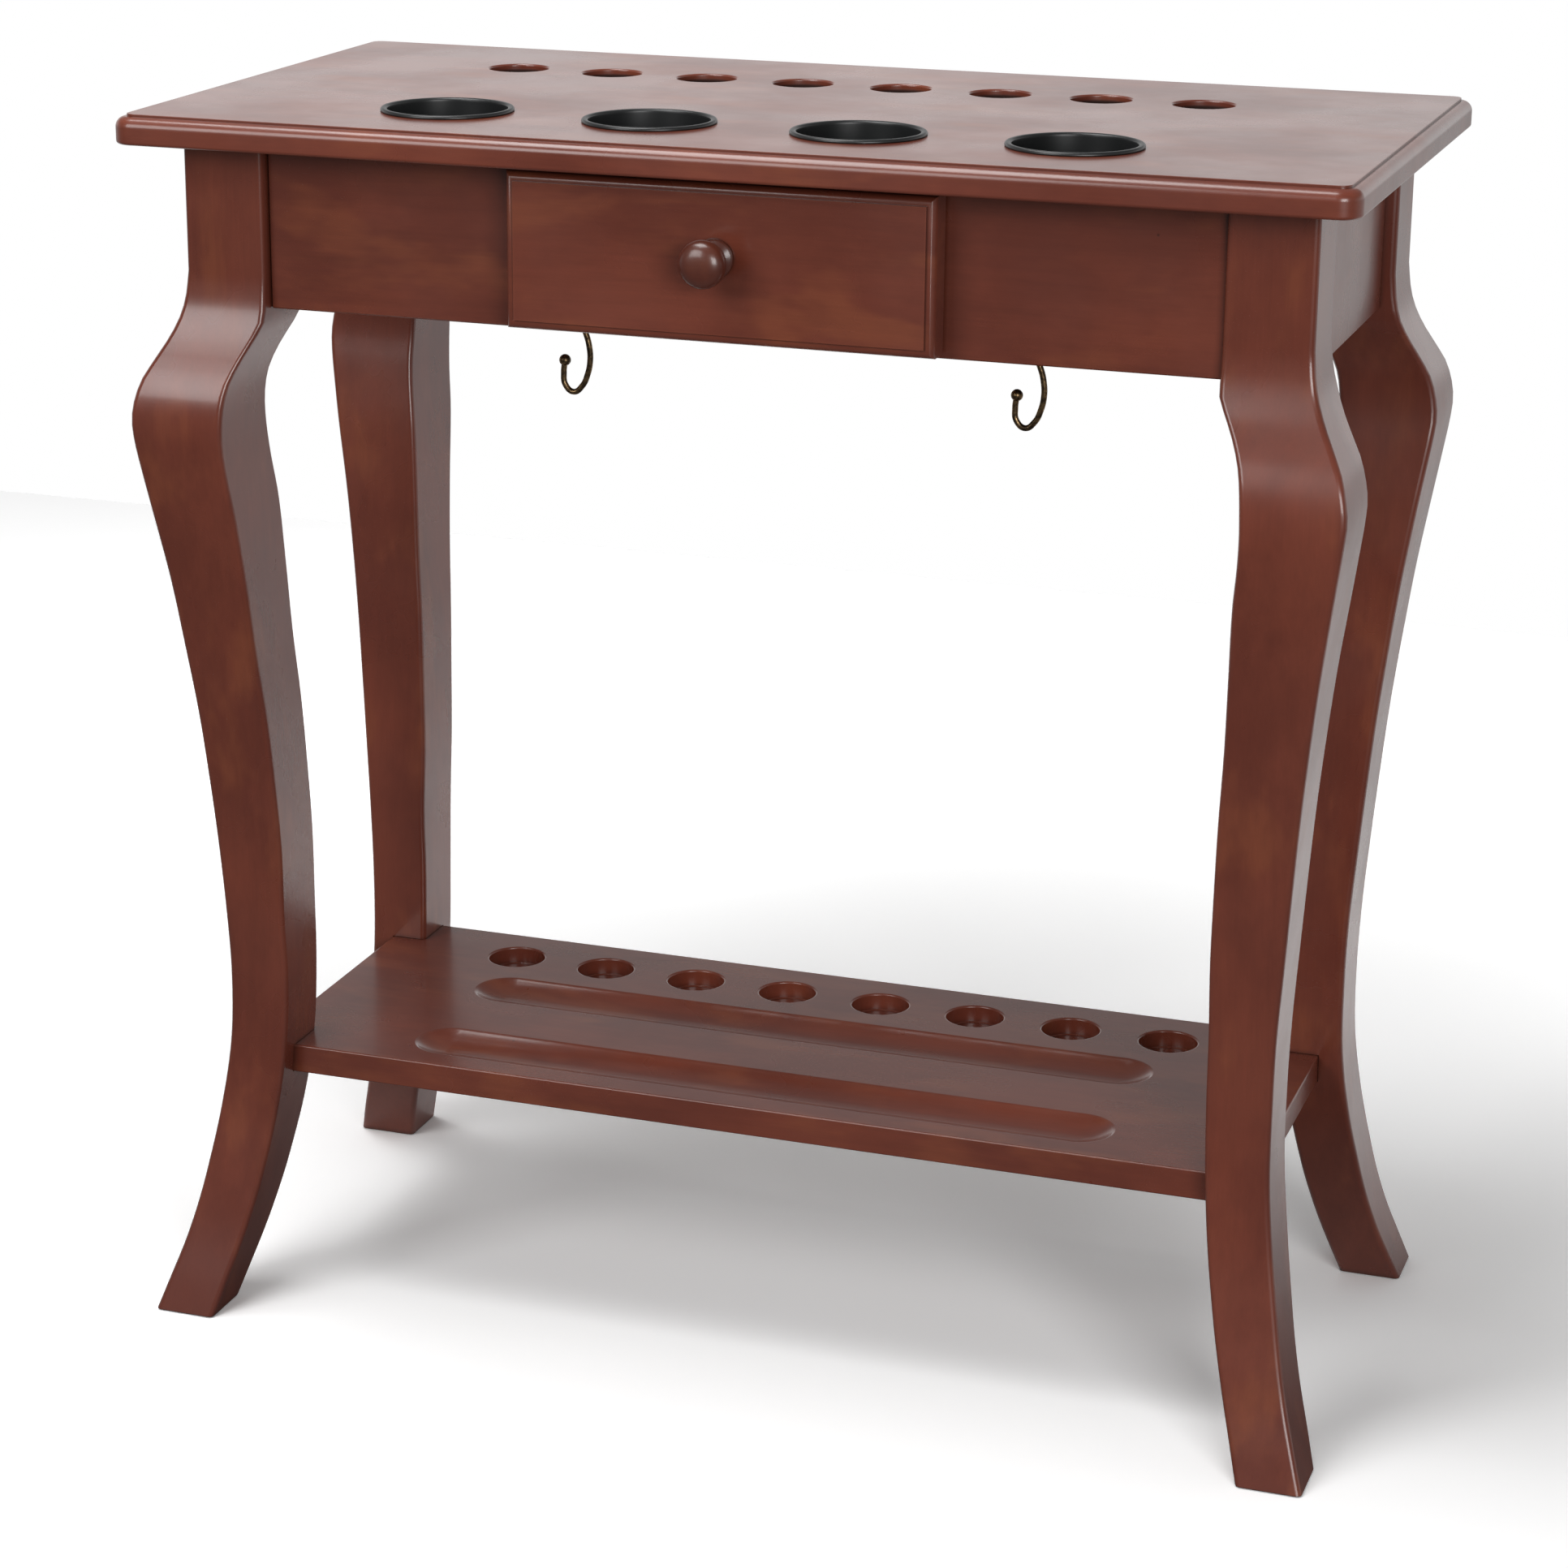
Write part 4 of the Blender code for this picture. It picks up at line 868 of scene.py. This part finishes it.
@dataclass
class CurvedLegs:
    """Four legs: a square block, a knee that swells outwards and a swept foot.

    Each station holds a share of the curve's height in thousandths, how far the outer
    faces stand beyond the block along X and along Y, and how far the inner faces draw in
    along X and along Y, in millimetres.
    """

    block_width: float = 58.3 * MM
    block_height: float = 90 * MM
    edge: float = 3.6 * MM
    sections: int = 96
    tenon_half: float = 4.3 * MM
    tenon_shoulder: float = 11.7 * MM
    bolt_hole: float = 3.3 * MM
    glide_hole: float = 13.3 * MM
    nail_hole: float = 2.5 * MM
    stations: tuple[tuple[float, ...], ...] = (
        (0, 37.5, 37.5, 50.3, 50.3), (33, 29.3, 28.5, 43.1, 38), (65, 21.5, 19.5, 35.9, 28),
        (98, 15, 11.5, 29.3, 19), (131, 9.8, 4.5, 23.6, 11), (196, 1.2, -6.5, 14.9, -2.5),
        (261, -4.6, -13.8, 9.6, -9.7), (327, -5.7, -15.9, 7.7, -11.6), (392, -4.7, -13, 7.9, -12.2),
        (458, -1.6, -10.7, 7.1, -9.8), (523, 1.7, -6.5, 8.3, -7.2), (588, 5.4, -1.1, 10.2, -4.1),
        (654, 10.3, 6.2, 13.4, -0.1), (719, 15.9, 13.3, 15.5, 3.2), (784, 22.9, 22.6, 17.9, 6.8),
        (824, 27.4, 28.1, 20.9, 10.9), (850, 30.2, 31, 21.9, 13.9), (869, 31.4, 31.3, 21.5, 16.5),
        (886, 29.8, 30, 20.6, 17.5), (905, 25.6, 25.6, 18.2, 16.5), (923, 18.4, 18.4, 13.2, 12.5),
        (941, 11, 11, 6.5, 6.3), (958, 5.5, 5.5, 0.3, 0.3), (976, 2, 2, 0, 0), (1000, 0, 0, 0, 0),
    )

    def along(self, share: float, column: int) -> float:
        """Read one column of the stations off a smooth curve.

        Args:
            share: the height, in thousandths of the curve.
            column: 1 and 2 for the outer faces along X and Y, 3 and 4 for the inner ones.

        Returns:
            The value in metres.
        """
        rows = self.stations
        i = max(k for k in range(len(rows) - 1) if rows[k][0] <= max(share, 0))

        def slope(k: int) -> float:
            """Rise of the column about one station."""
            a, b = rows[max(k - 1, 0)], rows[min(k + 1, len(rows) - 1)]
            return (b[column] - a[column]) / (b[0] - a[0])

        width = rows[i + 1][0] - rows[i][0]
        t = (share - rows[i][0]) / width
        value = rows[i][column] * (1 + 2 * t) * (1 - t) ** 2 + rows[i + 1][column] * t * t * (3 - 2 * t)
        value += width * (slope(i) * t * (1 - t) ** 2 - slope(i + 1) * t * t * (1 - t))
        return value * MM

    def first(self) -> Piece:
        """Model the back right leg, section by section from the block down.

        Returns:
            The leg, before its cuts, about the middle of the frame.
        """
        low, high, _ = bounds_of("leg_back_right")
        top = high.z
        curve = top + GAP - self.block_height
        foot = 1000 * low.z / curve
        face = Vector((high.x - self.along(foot, 1), high.y - middle_of("tabletop").y - self.along(foot, 2)))
        size = Vector((self.block_width, self.block_width))
        centre = Vector((*(face - size / 2), top))
        deselect()
        bpy.ops.mesh.primitive_plane_add(size=self.block_width, location=centre)
        leg = fresh("leg")
        mode("EDIT")
        bpy.ops.mesh.select_all(action="SELECT")
        heights = [curve * (1 - i / self.sections) for i in range(self.sections)] + [low.z]
        for height in heights:
            share = min(1000 * height / curve, 1000)
            out = Vector((self.along(share, 1), self.along(share, 2)))
            drawn = Vector((self.along(share, 3), self.along(share, 4)))
            new_size = Vector((self.block_width, self.block_width)) + out - drawn
            new_centre = Vector((*(face + out - new_size / 2), height))
            bpy.ops.mesh.extrude_region_move(TRANSFORM_OT_translate={"value": new_centre - centre})
            grow = (new_size.x / size.x, new_size.y / size.y, 1)
            bpy.ops.transform.resize(value=grow, center_override=new_centre)
            centre, size = new_centre, new_size
        mode("OBJECT")
        tidy(leg)
        round_edges(leg, lambda middle, along: abs(along.z) > 0.4, self.edge, 5)
        round_face(leg, lambda middle, normal: normal.z < -0.95 and middle.z < 3 * MM, 0.8 * MM, 2)
        return leg

    def cutters(self, corner: Corner) -> list[Piece]:
        """Tools for the shelf notch, the mortises and the fastener holes of one leg.

        Args:
            corner: which leg.

        Returns:
            The tools.
        """
        name, side_x, side_y = corner.value
        outer, inner = self.outermost("shelf", side_x, side_y), 70 * MM
        low, high, _ = bounds_of("shelf")
        notch = block(
            "tool",
            (outer.x + side_x * GAP, outer.y + side_y * GAP, low.z - GAP),
            (outer.x - side_x * inner, outer.y - side_y * inner, high.z + GAP),
        )
        end_apron = "apron_front" if side_y < 0 else "apron_back"
        side_apron = "apron_left" if side_x < 0 else "apron_right"
        mortises = [self.mortise(end_apron, side_x, 0), self.mortise(side_apron, 0, side_y)]
        low, high, centre = bounds_of("corner_bolt_" + name)
        heading = Vector((side_x, side_y, 0)).to_track_quat("Z", "Y").to_matrix().to_4x4()
        length = math.hypot(high.x - low.x, high.y - low.y) / 2 + 6 * MM
        bolt = rod(self.bolt_hole, length, centre, 24, heading)
        glide = middle_of("foot_glide_" + name)
        recess = rod(self.glide_hole, 7.8 * MM, (glide.x, glide.y, -5 * MM), 40)
        pin = rod(self.nail_hole, 14.8 * MM, (glide.x, glide.y, 0), 16)
        return [notch, *mortises, dowel_tool(name), bolt, recess, pin]

    @staticmethod
    def outermost(node: str, side_x: int, side_y: int) -> Vector:
        """The point of a node's box furthest to the given sides; 0 asks for the middle."""
        low, high, centre = bounds_of(node)
        return centre + Vector((side_x * (high.x - low.x), side_y * (high.y - low.y))).to_3d() / 2

    def mortise(self, node: str, side_x: int, side_y: int) -> Piece:
        """A tool that clears the tenon at one end of an apron.

        Args:
            node: the apron.
            side_x: which end of an apron that runs along X, or 0.
            side_y: which end of an apron that runs along Y, or 0.

        Returns:
            The tool.
        """
        low, high, _ = bounds_of(node)
        half, shoulder, reach = self.tenon_half, self.tenon_shoulder, 45 * MM
        end = self.outermost(node, side_x, side_y)
        along = Vector((side_x, side_y))
        across = Vector((abs(side_y), abs(side_x))) * half
        start = end.xy + along * GAP - across
        stop = end.xy - along * reach + across
        return block("tool", (*start, low.z + shoulder), (*stop, high.z - shoulder))

    def build(self) -> dict[Corner, Piece]:
        """Model all four legs.

        Returns:
            The finished leg at each corner.
        """
        first = self.first()
        set_back = Matrix.Translation((0, middle_of("tabletop").y, 0))
        legs = {}
        for corner in Corner:
            name, side_x, side_y = corner.value
            legs[corner] = mirrored(first, f"leg_{name}_finished", side_x, side_y)
            place(legs[corner], set_back)
            cut(legs[corner], self.cutters(corner), 40)
        bpy.data.objects.remove(first)
        return legs


@dataclass
class LowerShelf:
    """The shelf with its cue sockets and ball troughs."""

    edge: float = 1.3 * MM
    ease: float = 1.5 * MM
    socket: float = 21.25 * MM
    socket_pitch: float = 73.4 * MM
    socket_row: float = 89.4 * MM
    socket_depth: float = 13 * MM
    columns: int = 8
    trough_width: float = 50.9 * MM
    trough_length: float = 521.9 * MM
    trough_depth: float = 8 * MM
    trough_rows: tuple[float, ...] = (-90.2 * MM, 21.3 * MM)

    def trough_cutter(self, centre: Vector) -> Piece:
        """A dished round tool pulled out lengthwise into a trough with an eased rim.

        Args:
            centre: middle of the trough, on the shelf's upper face.

        Returns:
            The tool.
        """
        half = self.trough_width / 2
        depth = self.trough_depth
        arc = (half ** 2 + depth ** 2) / (2 * depth)
        rows = []
        for step in range(1, 15):
            rim = half * math.sin(step / 14 * math.pi / 2)
            rows.append((rim, arc - depth - math.sqrt(arc ** 2 - rim ** 2)))
        slope = math.atan2(half, arc - depth)
        corner = 1.6 * MM
        rows = [(rim, drop) for rim, drop in rows if rim < half - corner * math.sin(slope) * 0.5]
        for step in range(1, 6):
            angle = slope * (1 - step / 5)
            reach = half + corner * (0.5 - math.sin(angle) * 0.5)
            rows.append((reach, -corner * 0.32 * (1 - math.cos(angle))))
        rows.append((half + corner * 0.5, 2 * MM))
        tool = turn("tool", rows, centre, 96)
        pull = self.trough_length / 2 - half
        for side in (1, -1):
            pick(tool, "VERT", lambda co, normal, side=side: side * (co.x - centre.x) > 0.1 * MM)
            bpy.ops.transform.translate(value=(side * pull, 0, 0))
            mode("OBJECT")
        return tool

    def build(self) -> Piece:
        """Model the shelf.

        Returns:
            The finished piece.
        """
        low, high, centre = bounds_of("shelf")
        piece = block("shelf_finished", low, high)
        round_edges(piece, lambda middle, along: True, self.edge, 4)
        cutters = [self.trough_cutter(Vector((centre.x, centre.y + row, high.z))) for row in self.trough_rows]
        for column in range(self.columns):
            x = centre.x + (column - (self.columns - 1) / 2) * self.socket_pitch
            rim = (x, centre.y + self.socket_row, high.z)
            cutters.append(eased_cutter("tool", self.socket, self.ease, rim, self.socket_depth))
        cut(piece, cutters + [dowel_tool(corner.value[0]) for corner in Corner])
        return piece


@dataclass
class DrawerFace:
    """The overlapping drawer front and its turned knob."""

    lip: float = 6 * MM
    lip_round: float = 5.2 * MM
    step: float = 1.8 * MM
    field_ease: float = 0.3 * MM
    screw_hole: float = 2.5 * MM
    knob_rows: tuple[Row, ...] = (
        (12.1, 0), (12.6, 0.5), (12.9, 1.4), (12.7, 2.3), (12.0, 3.0), (11.4, 3.4), (9.6, 4.3),
        (8.2, 5.3), (7.3, 6.7), (6.9, 8.4), (6.9, 10), (7.4, 12), (8.5, 14), (10.2, 15.8),
        (12.2, 17.2), (13.9, 18.9), (15.1, 21), (15.7, 23.2), (15.8, 25), (15.5, 27), (14.6, 29),
        (13, 30.8), (10.8, 32.2), (8.2, 33.2), (5.4, 33.75), (2.6, 33.95), (0.4, 34),
    )

    def front(self) -> Piece:
        """Model the front: a raised field inside a rounded lip.

        Returns:
            The finished piece.
        """
        low, high, _ = bounds_of("drawer_front")
        shoulder = low.y + self.step + self.lip_round
        piece = block("drawer_front_finished", (low.x, shoulder, low.z), high)
        rim = (self.lip_round, 9)
        raise_field(piece, Vector((0, -1, 0)), rim, self.lip - self.lip_round, self.step, self.field_ease)
        tidy(piece)
        cutters = []
        for node, past in (("front_screw_left", GAP), ("front_screw_right", GAP), ("knob_screw", 20 * MM)):
            low, high, centre = bounds_of(node)
            start = high.y + 1 * MM
            length = start - low.y + past
            cutters.append(rod(self.screw_hole, length, (centre.x, start, centre.z), 20, LAID_ALONG_Y))
        cut(piece, cutters, 25)
        return piece

    def knob(self) -> Piece:
        """Model the knob: a ringed base, a waist and a domed head.

        Returns:
            The finished piece.
        """
        low, high, centre = bounds_of("drawer_knob")
        scale = (high.y - low.y) / self.knob_rows[-1][1]
        rows = [(radius * MM, height * scale) for radius, height in self.knob_rows]
        knob = turn("drawer_knob_finished", rows, (0, 0, 0), 72)
        base = Vector((centre.x, high.y, centre.z))
        place(knob, Matrix.Translation(base) @ LAID_ALONG_Y)
        carve(knob, [rod(self.screw_hole, 15.4 * MM, base + Vector((0, 2 * MM, 0)), 20, LAID_ALONG_Y)])
        tidy(knob, 50)
        return knob


@dataclass
class Cups:
    """Drop-in cups with a rounded flange, a straight mouth, a ledge and a lower bowl."""

    mouth: float = 41.5 * MM
    wall: float = 1.6 * MM

    def rows(self, low: float, high: float, flange: float) -> list[Row]:
        """The cup's outline, up the outside and down the inside.

        Args:
            low: height of its underside.
            high: height of its rim.
            flange: radius of its flange.

        Returns:
            Radius and height of each ring.
        """
        outer = self.mouth + 0.6 * MM
        inner = outer - self.wall
        ledge = high - 22.5 * MM
        flange_low = high - 2.3 * MM
        rows = [(outer - 6.2 * MM, low), (outer - 5 * MM, low + 0.4 * MM), (outer - 4.4 * MM, low + 1.6 * MM)]
        rows += [(outer - 2.5 * MM, ledge - 2.6 * MM), (outer - 1.2 * MM, ledge - 1.8 * MM)]
        rows += [(outer, ledge - 0.6 * MM), (outer, flange_low), (flange - 0.3 * MM, flange_low)]
        for step in range(7):
            angle = step / 6 * math.pi / 2
            rows.append((flange - 1.5 * MM * (1 - math.cos(angle)), high - 1.7 * MM * (1 - math.sin(angle))))
        rows.append((self.mouth + 1.2 * MM, high))
        for step in range(1, 6):
            angle = step / 5 * math.pi / 2
            drop = 1.4 * MM * (1 - math.cos(angle))
            rows.append((self.mouth + 1.2 * MM - 2.2 * MM * math.sin(angle), high - drop))
        rows += [(inner, high - 2.6 * MM), (inner, ledge + 0.4 * MM), (inner - 0.4 * MM, ledge)]
        rows += [(inner - 2.1 * MM, ledge), (inner - 2.6 * MM, ledge - 0.5 * MM)]
        rows += [(inner - 4.6 * MM, low + 3.6 * MM), (inner - 5.4 * MM, low + 2.2 * MM)]
        rows += [(inner - 7 * MM, low + self.wall), (inner - 20 * MM, low + self.wall)]
        return rows

    def build(self) -> list[Piece]:
        """Model the four cups.

        Returns:
            The finished cups, left to right.
        """
        low, high, centre = bounds_of("cup_liner_1")
        first = turn("cup", self.rows(low.z, high.z, (high.x - low.x) / 2), (0, 0, 0), 96)
        tidy(first, 50)
        cups = []
        for number in range(1, 5):
            cup = copy_of(first, f"cup_liner_{number}_finished")
            centre = middle_of(f"cup_liner_{number}")
            place(cup, Matrix.Translation((centre.x, centre.y, 0)))
            cups.append(cup)
        bpy.data.objects.remove(first)
        return cups


@dataclass
class CupHooks:
    """Wire hooks with a ball tip, a double bend, a collar and a shank."""

    wire: float = 2.1 * MM
    ball: float = 4.15 * MM
    bends: tuple[Row, ...] = (
        (-6.3, 22.3), (-7.3, 13.5), (-6.1, 4.6), (0, 0), (6.5, 4.6), (10.7, 13.4), (12.6, 23),
        (12.2, 32), (9.6, 42), (5.2, 50.6), (1.4, 57), (0, 63), (0, 74), (0, 86),
    )
    collar: tuple[Row, ...] = ((2.6, 0), (3.4, 0.5), (5.2, 1), (5.9, 1.7), (6, 2.3), (5.8, 2.7))
    collar_height: float = 71.5 * MM
    hang: float = 74.5 * MM

    def build(self) -> Piece:
        """Model a hook about its own shank, its lowest wire centre at height zero.

        Returns:
            The hook.
        """
        deselect()
        bpy.ops.curve.primitive_bezier_curve_add()
        curve = bpy.context.object
        curve.name = "hook"
        points = curve.data.splines[0].bezier_points
        points.add(len(self.bends) - 2)
        for point, (x, z) in zip(points, self.bends):
            point.handle_left_type = point.handle_right_type = "AUTO"
            point.co = (x * MM, 0, z * MM)
        curve.data.dimensions = "3D"
        curve.data.resolution_u = 10
        curve.data.bevel_depth = self.wire
        curve.data.bevel_resolution = 6
        curve.data.use_fill_caps = True
        curve.location = (0, 0, 0)
        activate(curve)
        bpy.ops.object.convert(target="MESH")
        hook = fresh("hook")
        tidy(hook, 50)
        tip = Vector((self.bends[0][0] * MM, 0, self.bends[0][1] * MM))
        deselect()
        bpy.ops.mesh.primitive_uv_sphere_add(segments=40, ring_count=24, radius=self.ball, location=tip)
        ball = fresh("ball")
        collar_rows = [(radius * MM, height * MM) for radius, height in self.collar]
        collar = turn("collar", collar_rows, (0, 0, self.collar_height), 40)
        carve(hook, [ball, collar], join=True)
        tidy(hook, 45)
        return hook


# ---- studio ---------------------------------------------------------------------
@dataclass
class Studio:
    """Pale floor, white surround, soft lights and the camera."""

    eye: tuple[float, float, float] = (0.8416, -2.5568, 1.2591)
    right: tuple[float, float, float] = (0.94309, 0.33251, 0.00486)
    up: tuple[float, float, float] = (-0.10573, 0.28596, 0.95239)
    lens: float = 90.66
    shift: tuple[float, float] = (0.0370, -0.0062)
    floor_low: tuple[float, float] = (-3.0, -0.8)
    floor_high: tuple[float, float] = (3.0, 2.0)
    aim: tuple[float, float, float] = (0, 0, 0.4)

    def camera(self, set_back: float) -> None:
        """Stand the camera up, moved back with the stand's own centre."""
        data = bpy.data.cameras.new("camera")
        data.lens = self.lens
        data.sensor_width = 36
        data.shift_x, data.shift_y = self.shift
        camera = bpy.data.objects.new("camera", data)
        right, up = Vector(self.right), Vector(self.up)
        back = right.cross(up)
        turned = Matrix((right, up, back)).transposed().to_4x4()
        camera.matrix_world = Matrix.Translation(Vector(self.eye) + Vector((0, set_back, 0))) @ turned
        bpy.context.scene.collection.objects.link(camera)
        bpy.context.scene.camera = camera

    def floor(self) -> None:
        """Lay a plain pale floor, seen as brighter than it shines on the wood."""
        low, high = Vector(self.floor_low), Vector(self.floor_high)
        deselect()
        centre = (low + high) / 2
        bpy.ops.mesh.primitive_plane_add(size=1, location=(centre.x, centre.y, -0.4 * MM))
        floor = fresh("floor")
        mode("EDIT")
        bpy.ops.mesh.select_all(action="SELECT")
        spread = (high.x - low.x, high.y - low.y, 1)
        bpy.ops.transform.resize(value=spread, center_override=(centre.x, centre.y, 0))
        mode("OBJECT")
        material, wiring, shader = new_material("floor_finish")
        spot = own_place(wiring)
        tone = wiring.times(wiring.noise(spot, 3.0, 2.0, 0.5), 0.03)
        seen = wiring.add("LightPath").outputs["Is Camera Ray"]
        away = wiring.add("VectorMath", {0: spot}, operation="LENGTH").outputs["Value"]
        behind = wiring.ramp(wiring.add("SeparateXYZ", {"Vector": spot}).outputs["Y"], -0.1, 0.5)
        # Seen in reflections the floor is dark in front and pale behind. Seen by the camera it is painted
        # brighter away from the stand, painted light that keeps it white where the lamps' light falls off.
        plain = wiring.maths("ADD", wiring.scaled(behind, 1.1, 0.14), tone)
        bright = wiring.maths("ADD", wiring.scaled(wiring.ramp(away, 0.7, 1.5), 0.9, 1.2), tone)
        extra = wiring.maths("SUBTRACT", bright, plain)
        level = wiring.scaled(seen, extra, plain)
        wiring.join(shader, {"Base Color": wiring.grey(level), "Roughness": 1.0, "Specular IOR Level": 0.0})
        paint(floor, material)

    def light(self, name: str, place_at: Sequence[float], size: Sequence[float], power: float) -> None:
        """Hang a soft rectangular light that faces the stand.

        Args:
            name: the light's name.
            place_at: where it hangs.
            size: its width and height.
            power: in watts.
        """
        data = bpy.data.lights.new(name, "AREA")
        data.shape = "RECTANGLE"
        data.size, data.size_y = size
        data.energy = power
        lamp = bpy.data.objects.new(name, data)
        heading = Vector(self.aim) - Vector(place_at)
        turned = heading.to_track_quat("-Z", "Y").to_matrix().to_4x4()
        lamp.matrix_world = Matrix.Translation(place_at) @ turned
        lamp.visible_camera = False
        bpy.context.scene.collection.objects.link(lamp)

    def surround(self) -> None:
        """A room that is pale behind, dimmer overhead and darkest in front."""
        world = bpy.data.worlds.new("room")
        world.use_nodes = True
        bpy.context.scene.world = world
        wiring = Wiring(world.node_tree)
        shader = world.node_tree.nodes["Background"]
        direction = wiring.add("TexCoord").outputs["Generated"]
        parts = wiring.add("SeparateXYZ", {"Vector": direction}).outputs
        behind = wiring.ramp(parts["Y"], -0.5, 0.6)
        low = wiring.ramp(parts["Z"], 0.45, 0.12)
        bright = wiring.times(behind, wiring.scaled(low, 0.75, 0.10))
        below = wiring.ramp(parts["Z"], -0.02, -0.12)
        bright = wiring.times(bright, wiring.scaled(below, -0.5, 1.0))
        tone = wiring.maths("ADD", bright, 0.12)
        seen = wiring.add("LightPath").outputs["Is Camera Ray"]
        wiring.join(shader, {"Strength": wiring.maths("MAXIMUM", tone, seen), "Color": (1, 1, 1, 1)})

    def build(self, set_back: float) -> None:
        """Set the whole studio up."""
        bpy.context.scene.view_settings.view_transform = "Standard"
        self.camera(set_back)
        self.floor()
        self.surround()
        self.light("overhead", (-0.55, -0.35, 2.7), (1.6, 1.1), 42)
        self.light("front", (-1.5, -3.0, 2.2), (2.0, 1.6), 55)
        self.light("fill", (1.6, -2.3, 1.3), (1.2, 1.0), 36)


# ---- the whole object -----------------------------------------------------------
@dataclass
class CueStand:
    """Builds every piece of the stand and gives it its finish."""

    effects: Effects = field(default_factory=Effects)

    def stained(
        self, name: str, grain: Grain, shift: Sequence[float], **changes: float
    ) -> bpy.types.Material:
        """A stained finish cut from its own part of the tree."""
        return StainedWood(name, grain, tuple(shift), **changes).build(self.effects)

    def shaped_pieces(self) -> None:
        """Model the shaped pieces and show them."""
        top = TableTop().build()
        paint(top, self.stained("top_finish", Grain.ALONG_X, (0.2, 0.7, 0.1), holes=True))
        show(top, Body.STAND.value, "stained_wood", "tabletop")
        shelf = LowerShelf().build()
        paint(shelf, self.stained("shelf_finish", Grain.ALONG_X, (1.3, 0.2, 0.6)))
        show(shelf, Body.STAND.value, "stained_wood", "shelf")
        for number, (corner, leg) in enumerate(CurvedLegs().build().items()):
            name = corner.value[0]
            paint(leg, self.stained(f"leg_{name}_finish", Grain.ALONG_Z, (0.4 * number, 0.3, 0.9)))
            show(leg, Body.STAND.value, "stained_wood", "leg_" + name)
        drawer = DrawerFace()
        front = drawer.front()
        paint(front, self.stained("drawer_front_finish", Grain.ALONG_X, (0.5, 0.1, 1.7)))
        show(front, Body.DRAWER.value, "stained_wood", "drawer_front")
        knob = drawer.knob()
        polish = {"glow": 0.55, "roughness": 0.34, "coat": 0.4, "coat_roughness": 0.16}
        paint(knob, self.stained("knob_finish", Grain.ALONG_Y, (0.1, 0.2, 0.3), **polish))
        show(knob, Body.DRAWER.value, "knob_wood", "drawer_knob")
        plastic = CupPlastic().build(self.effects)
        for number, cup in enumerate(Cups().build(), start=1):
            paint(cup, plastic)
            show(cup, f"cup_{number}", "cup_plastic", f"cup_liner_{number}")
        brass = Metal("brass_finish", (0.30, 0.20, 0.10), (0.055, 0.038, 0.024), 0.34).build(self.effects)
        hook = CupHooks().build()
        for side in ("left", "right"):
            low, high, centre = bounds_of("hook_" + side)
            twin = copy_of(hook, f"hook_{side}_finished")
            shank = low.x + CupHooks.wire + 8.25 * MM
            place(twin, Matrix.Translation((shank, centre.y, bounds_of("hook_rail")[0].z - CupHooks.hang)))
            paint(twin, brass)
            show(twin, Body.STAND.value, "hook_brass", "hook_" + side)
        bpy.data.objects.remove(hook)

    def kept_pieces(self) -> None:
        """Give the boards and fasteners that keep their own mesh their finishes."""
        finishes = {}
        for name, grain, shift in (
            ("apron_front", Grain.ALONG_X, (0.9, 0.5, 0.2)),
            ("apron_back", Grain.ALONG_X, (0.1, 1.5, 0.8)),
            ("apron_left", Grain.ALONG_Y, (0.3, 0.5, 1.2)),
            ("apron_right", Grain.ALONG_Y, (1.3, 0.4, 0.2)),
            ("hook_rail", Grain.ALONG_X, (0.6, 0.9, 0.4)),
        ):
            finishes[name] = self.stained(name + "_finish", grain, shift)
        plain = {
            "drawer_side": PlainWood("drawer_side_finish", Grain.ALONG_Y),
            "drawer_runner": PlainWood("runner_finish", Grain.ALONG_Y),
            "drawer_box_front": PlainWood("box_front_finish", Grain.ALONG_X),
            "drawer_back": PlainWood("box_back_finish", Grain.ALONG_X),
            "drawer_bottom": PlainWood(
                "box_bottom_finish", Grain.ALONG_X, (0.60, 0.45, 0.29), (0.45, 0.31, 0.18)
            ),
            "corner_block": PlainWood("corner_block_finish", Grain.ALONG_X),
            "shelf_dowel": PlainWood("dowel_finish", Grain.ALONG_X),
            "corner_bolt": Metal("steel_finish", (0.60, 0.61, 0.63), (0.42, 0.43, 0.44), 0.34),
            "drawer_bumper": Matt("rubber_finish", (0.018, 0.018, 0.018), (0.07, 0.066, 0.06), 0.85),
            "foot_glide": Matt("glide_finish", (0.16, 0.13, 0.10), (0.24, 0.21, 0.18), 0.5),
        }
        finishes.update({prefix: finish.build(self.effects) for prefix, finish in plain.items()})
        for prefix in ("top_screw", "front_screw", "knob_screw"):
            finishes[prefix] = finishes["corner_bolt"]
        for name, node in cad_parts.items():
            material = next((finishes[prefix] for prefix in finishes if name.startswith(prefix)), None)
            if material:
                paint(node, material)
                LOG.info("%s: %s", name, material.name)

    def build(self) -> None:
        """Build and finish the whole stand."""
        self.shaped_pieces()
        self.kept_pieces()


def main() -> None:
    """Build the stand and its studio."""
    logging.basicConfig(level=logging.INFO, format="%(message)s")
    CueStand().build()
    Studio().build(middle_of("tabletop").y)


if __name__ == "__main__":
    main()
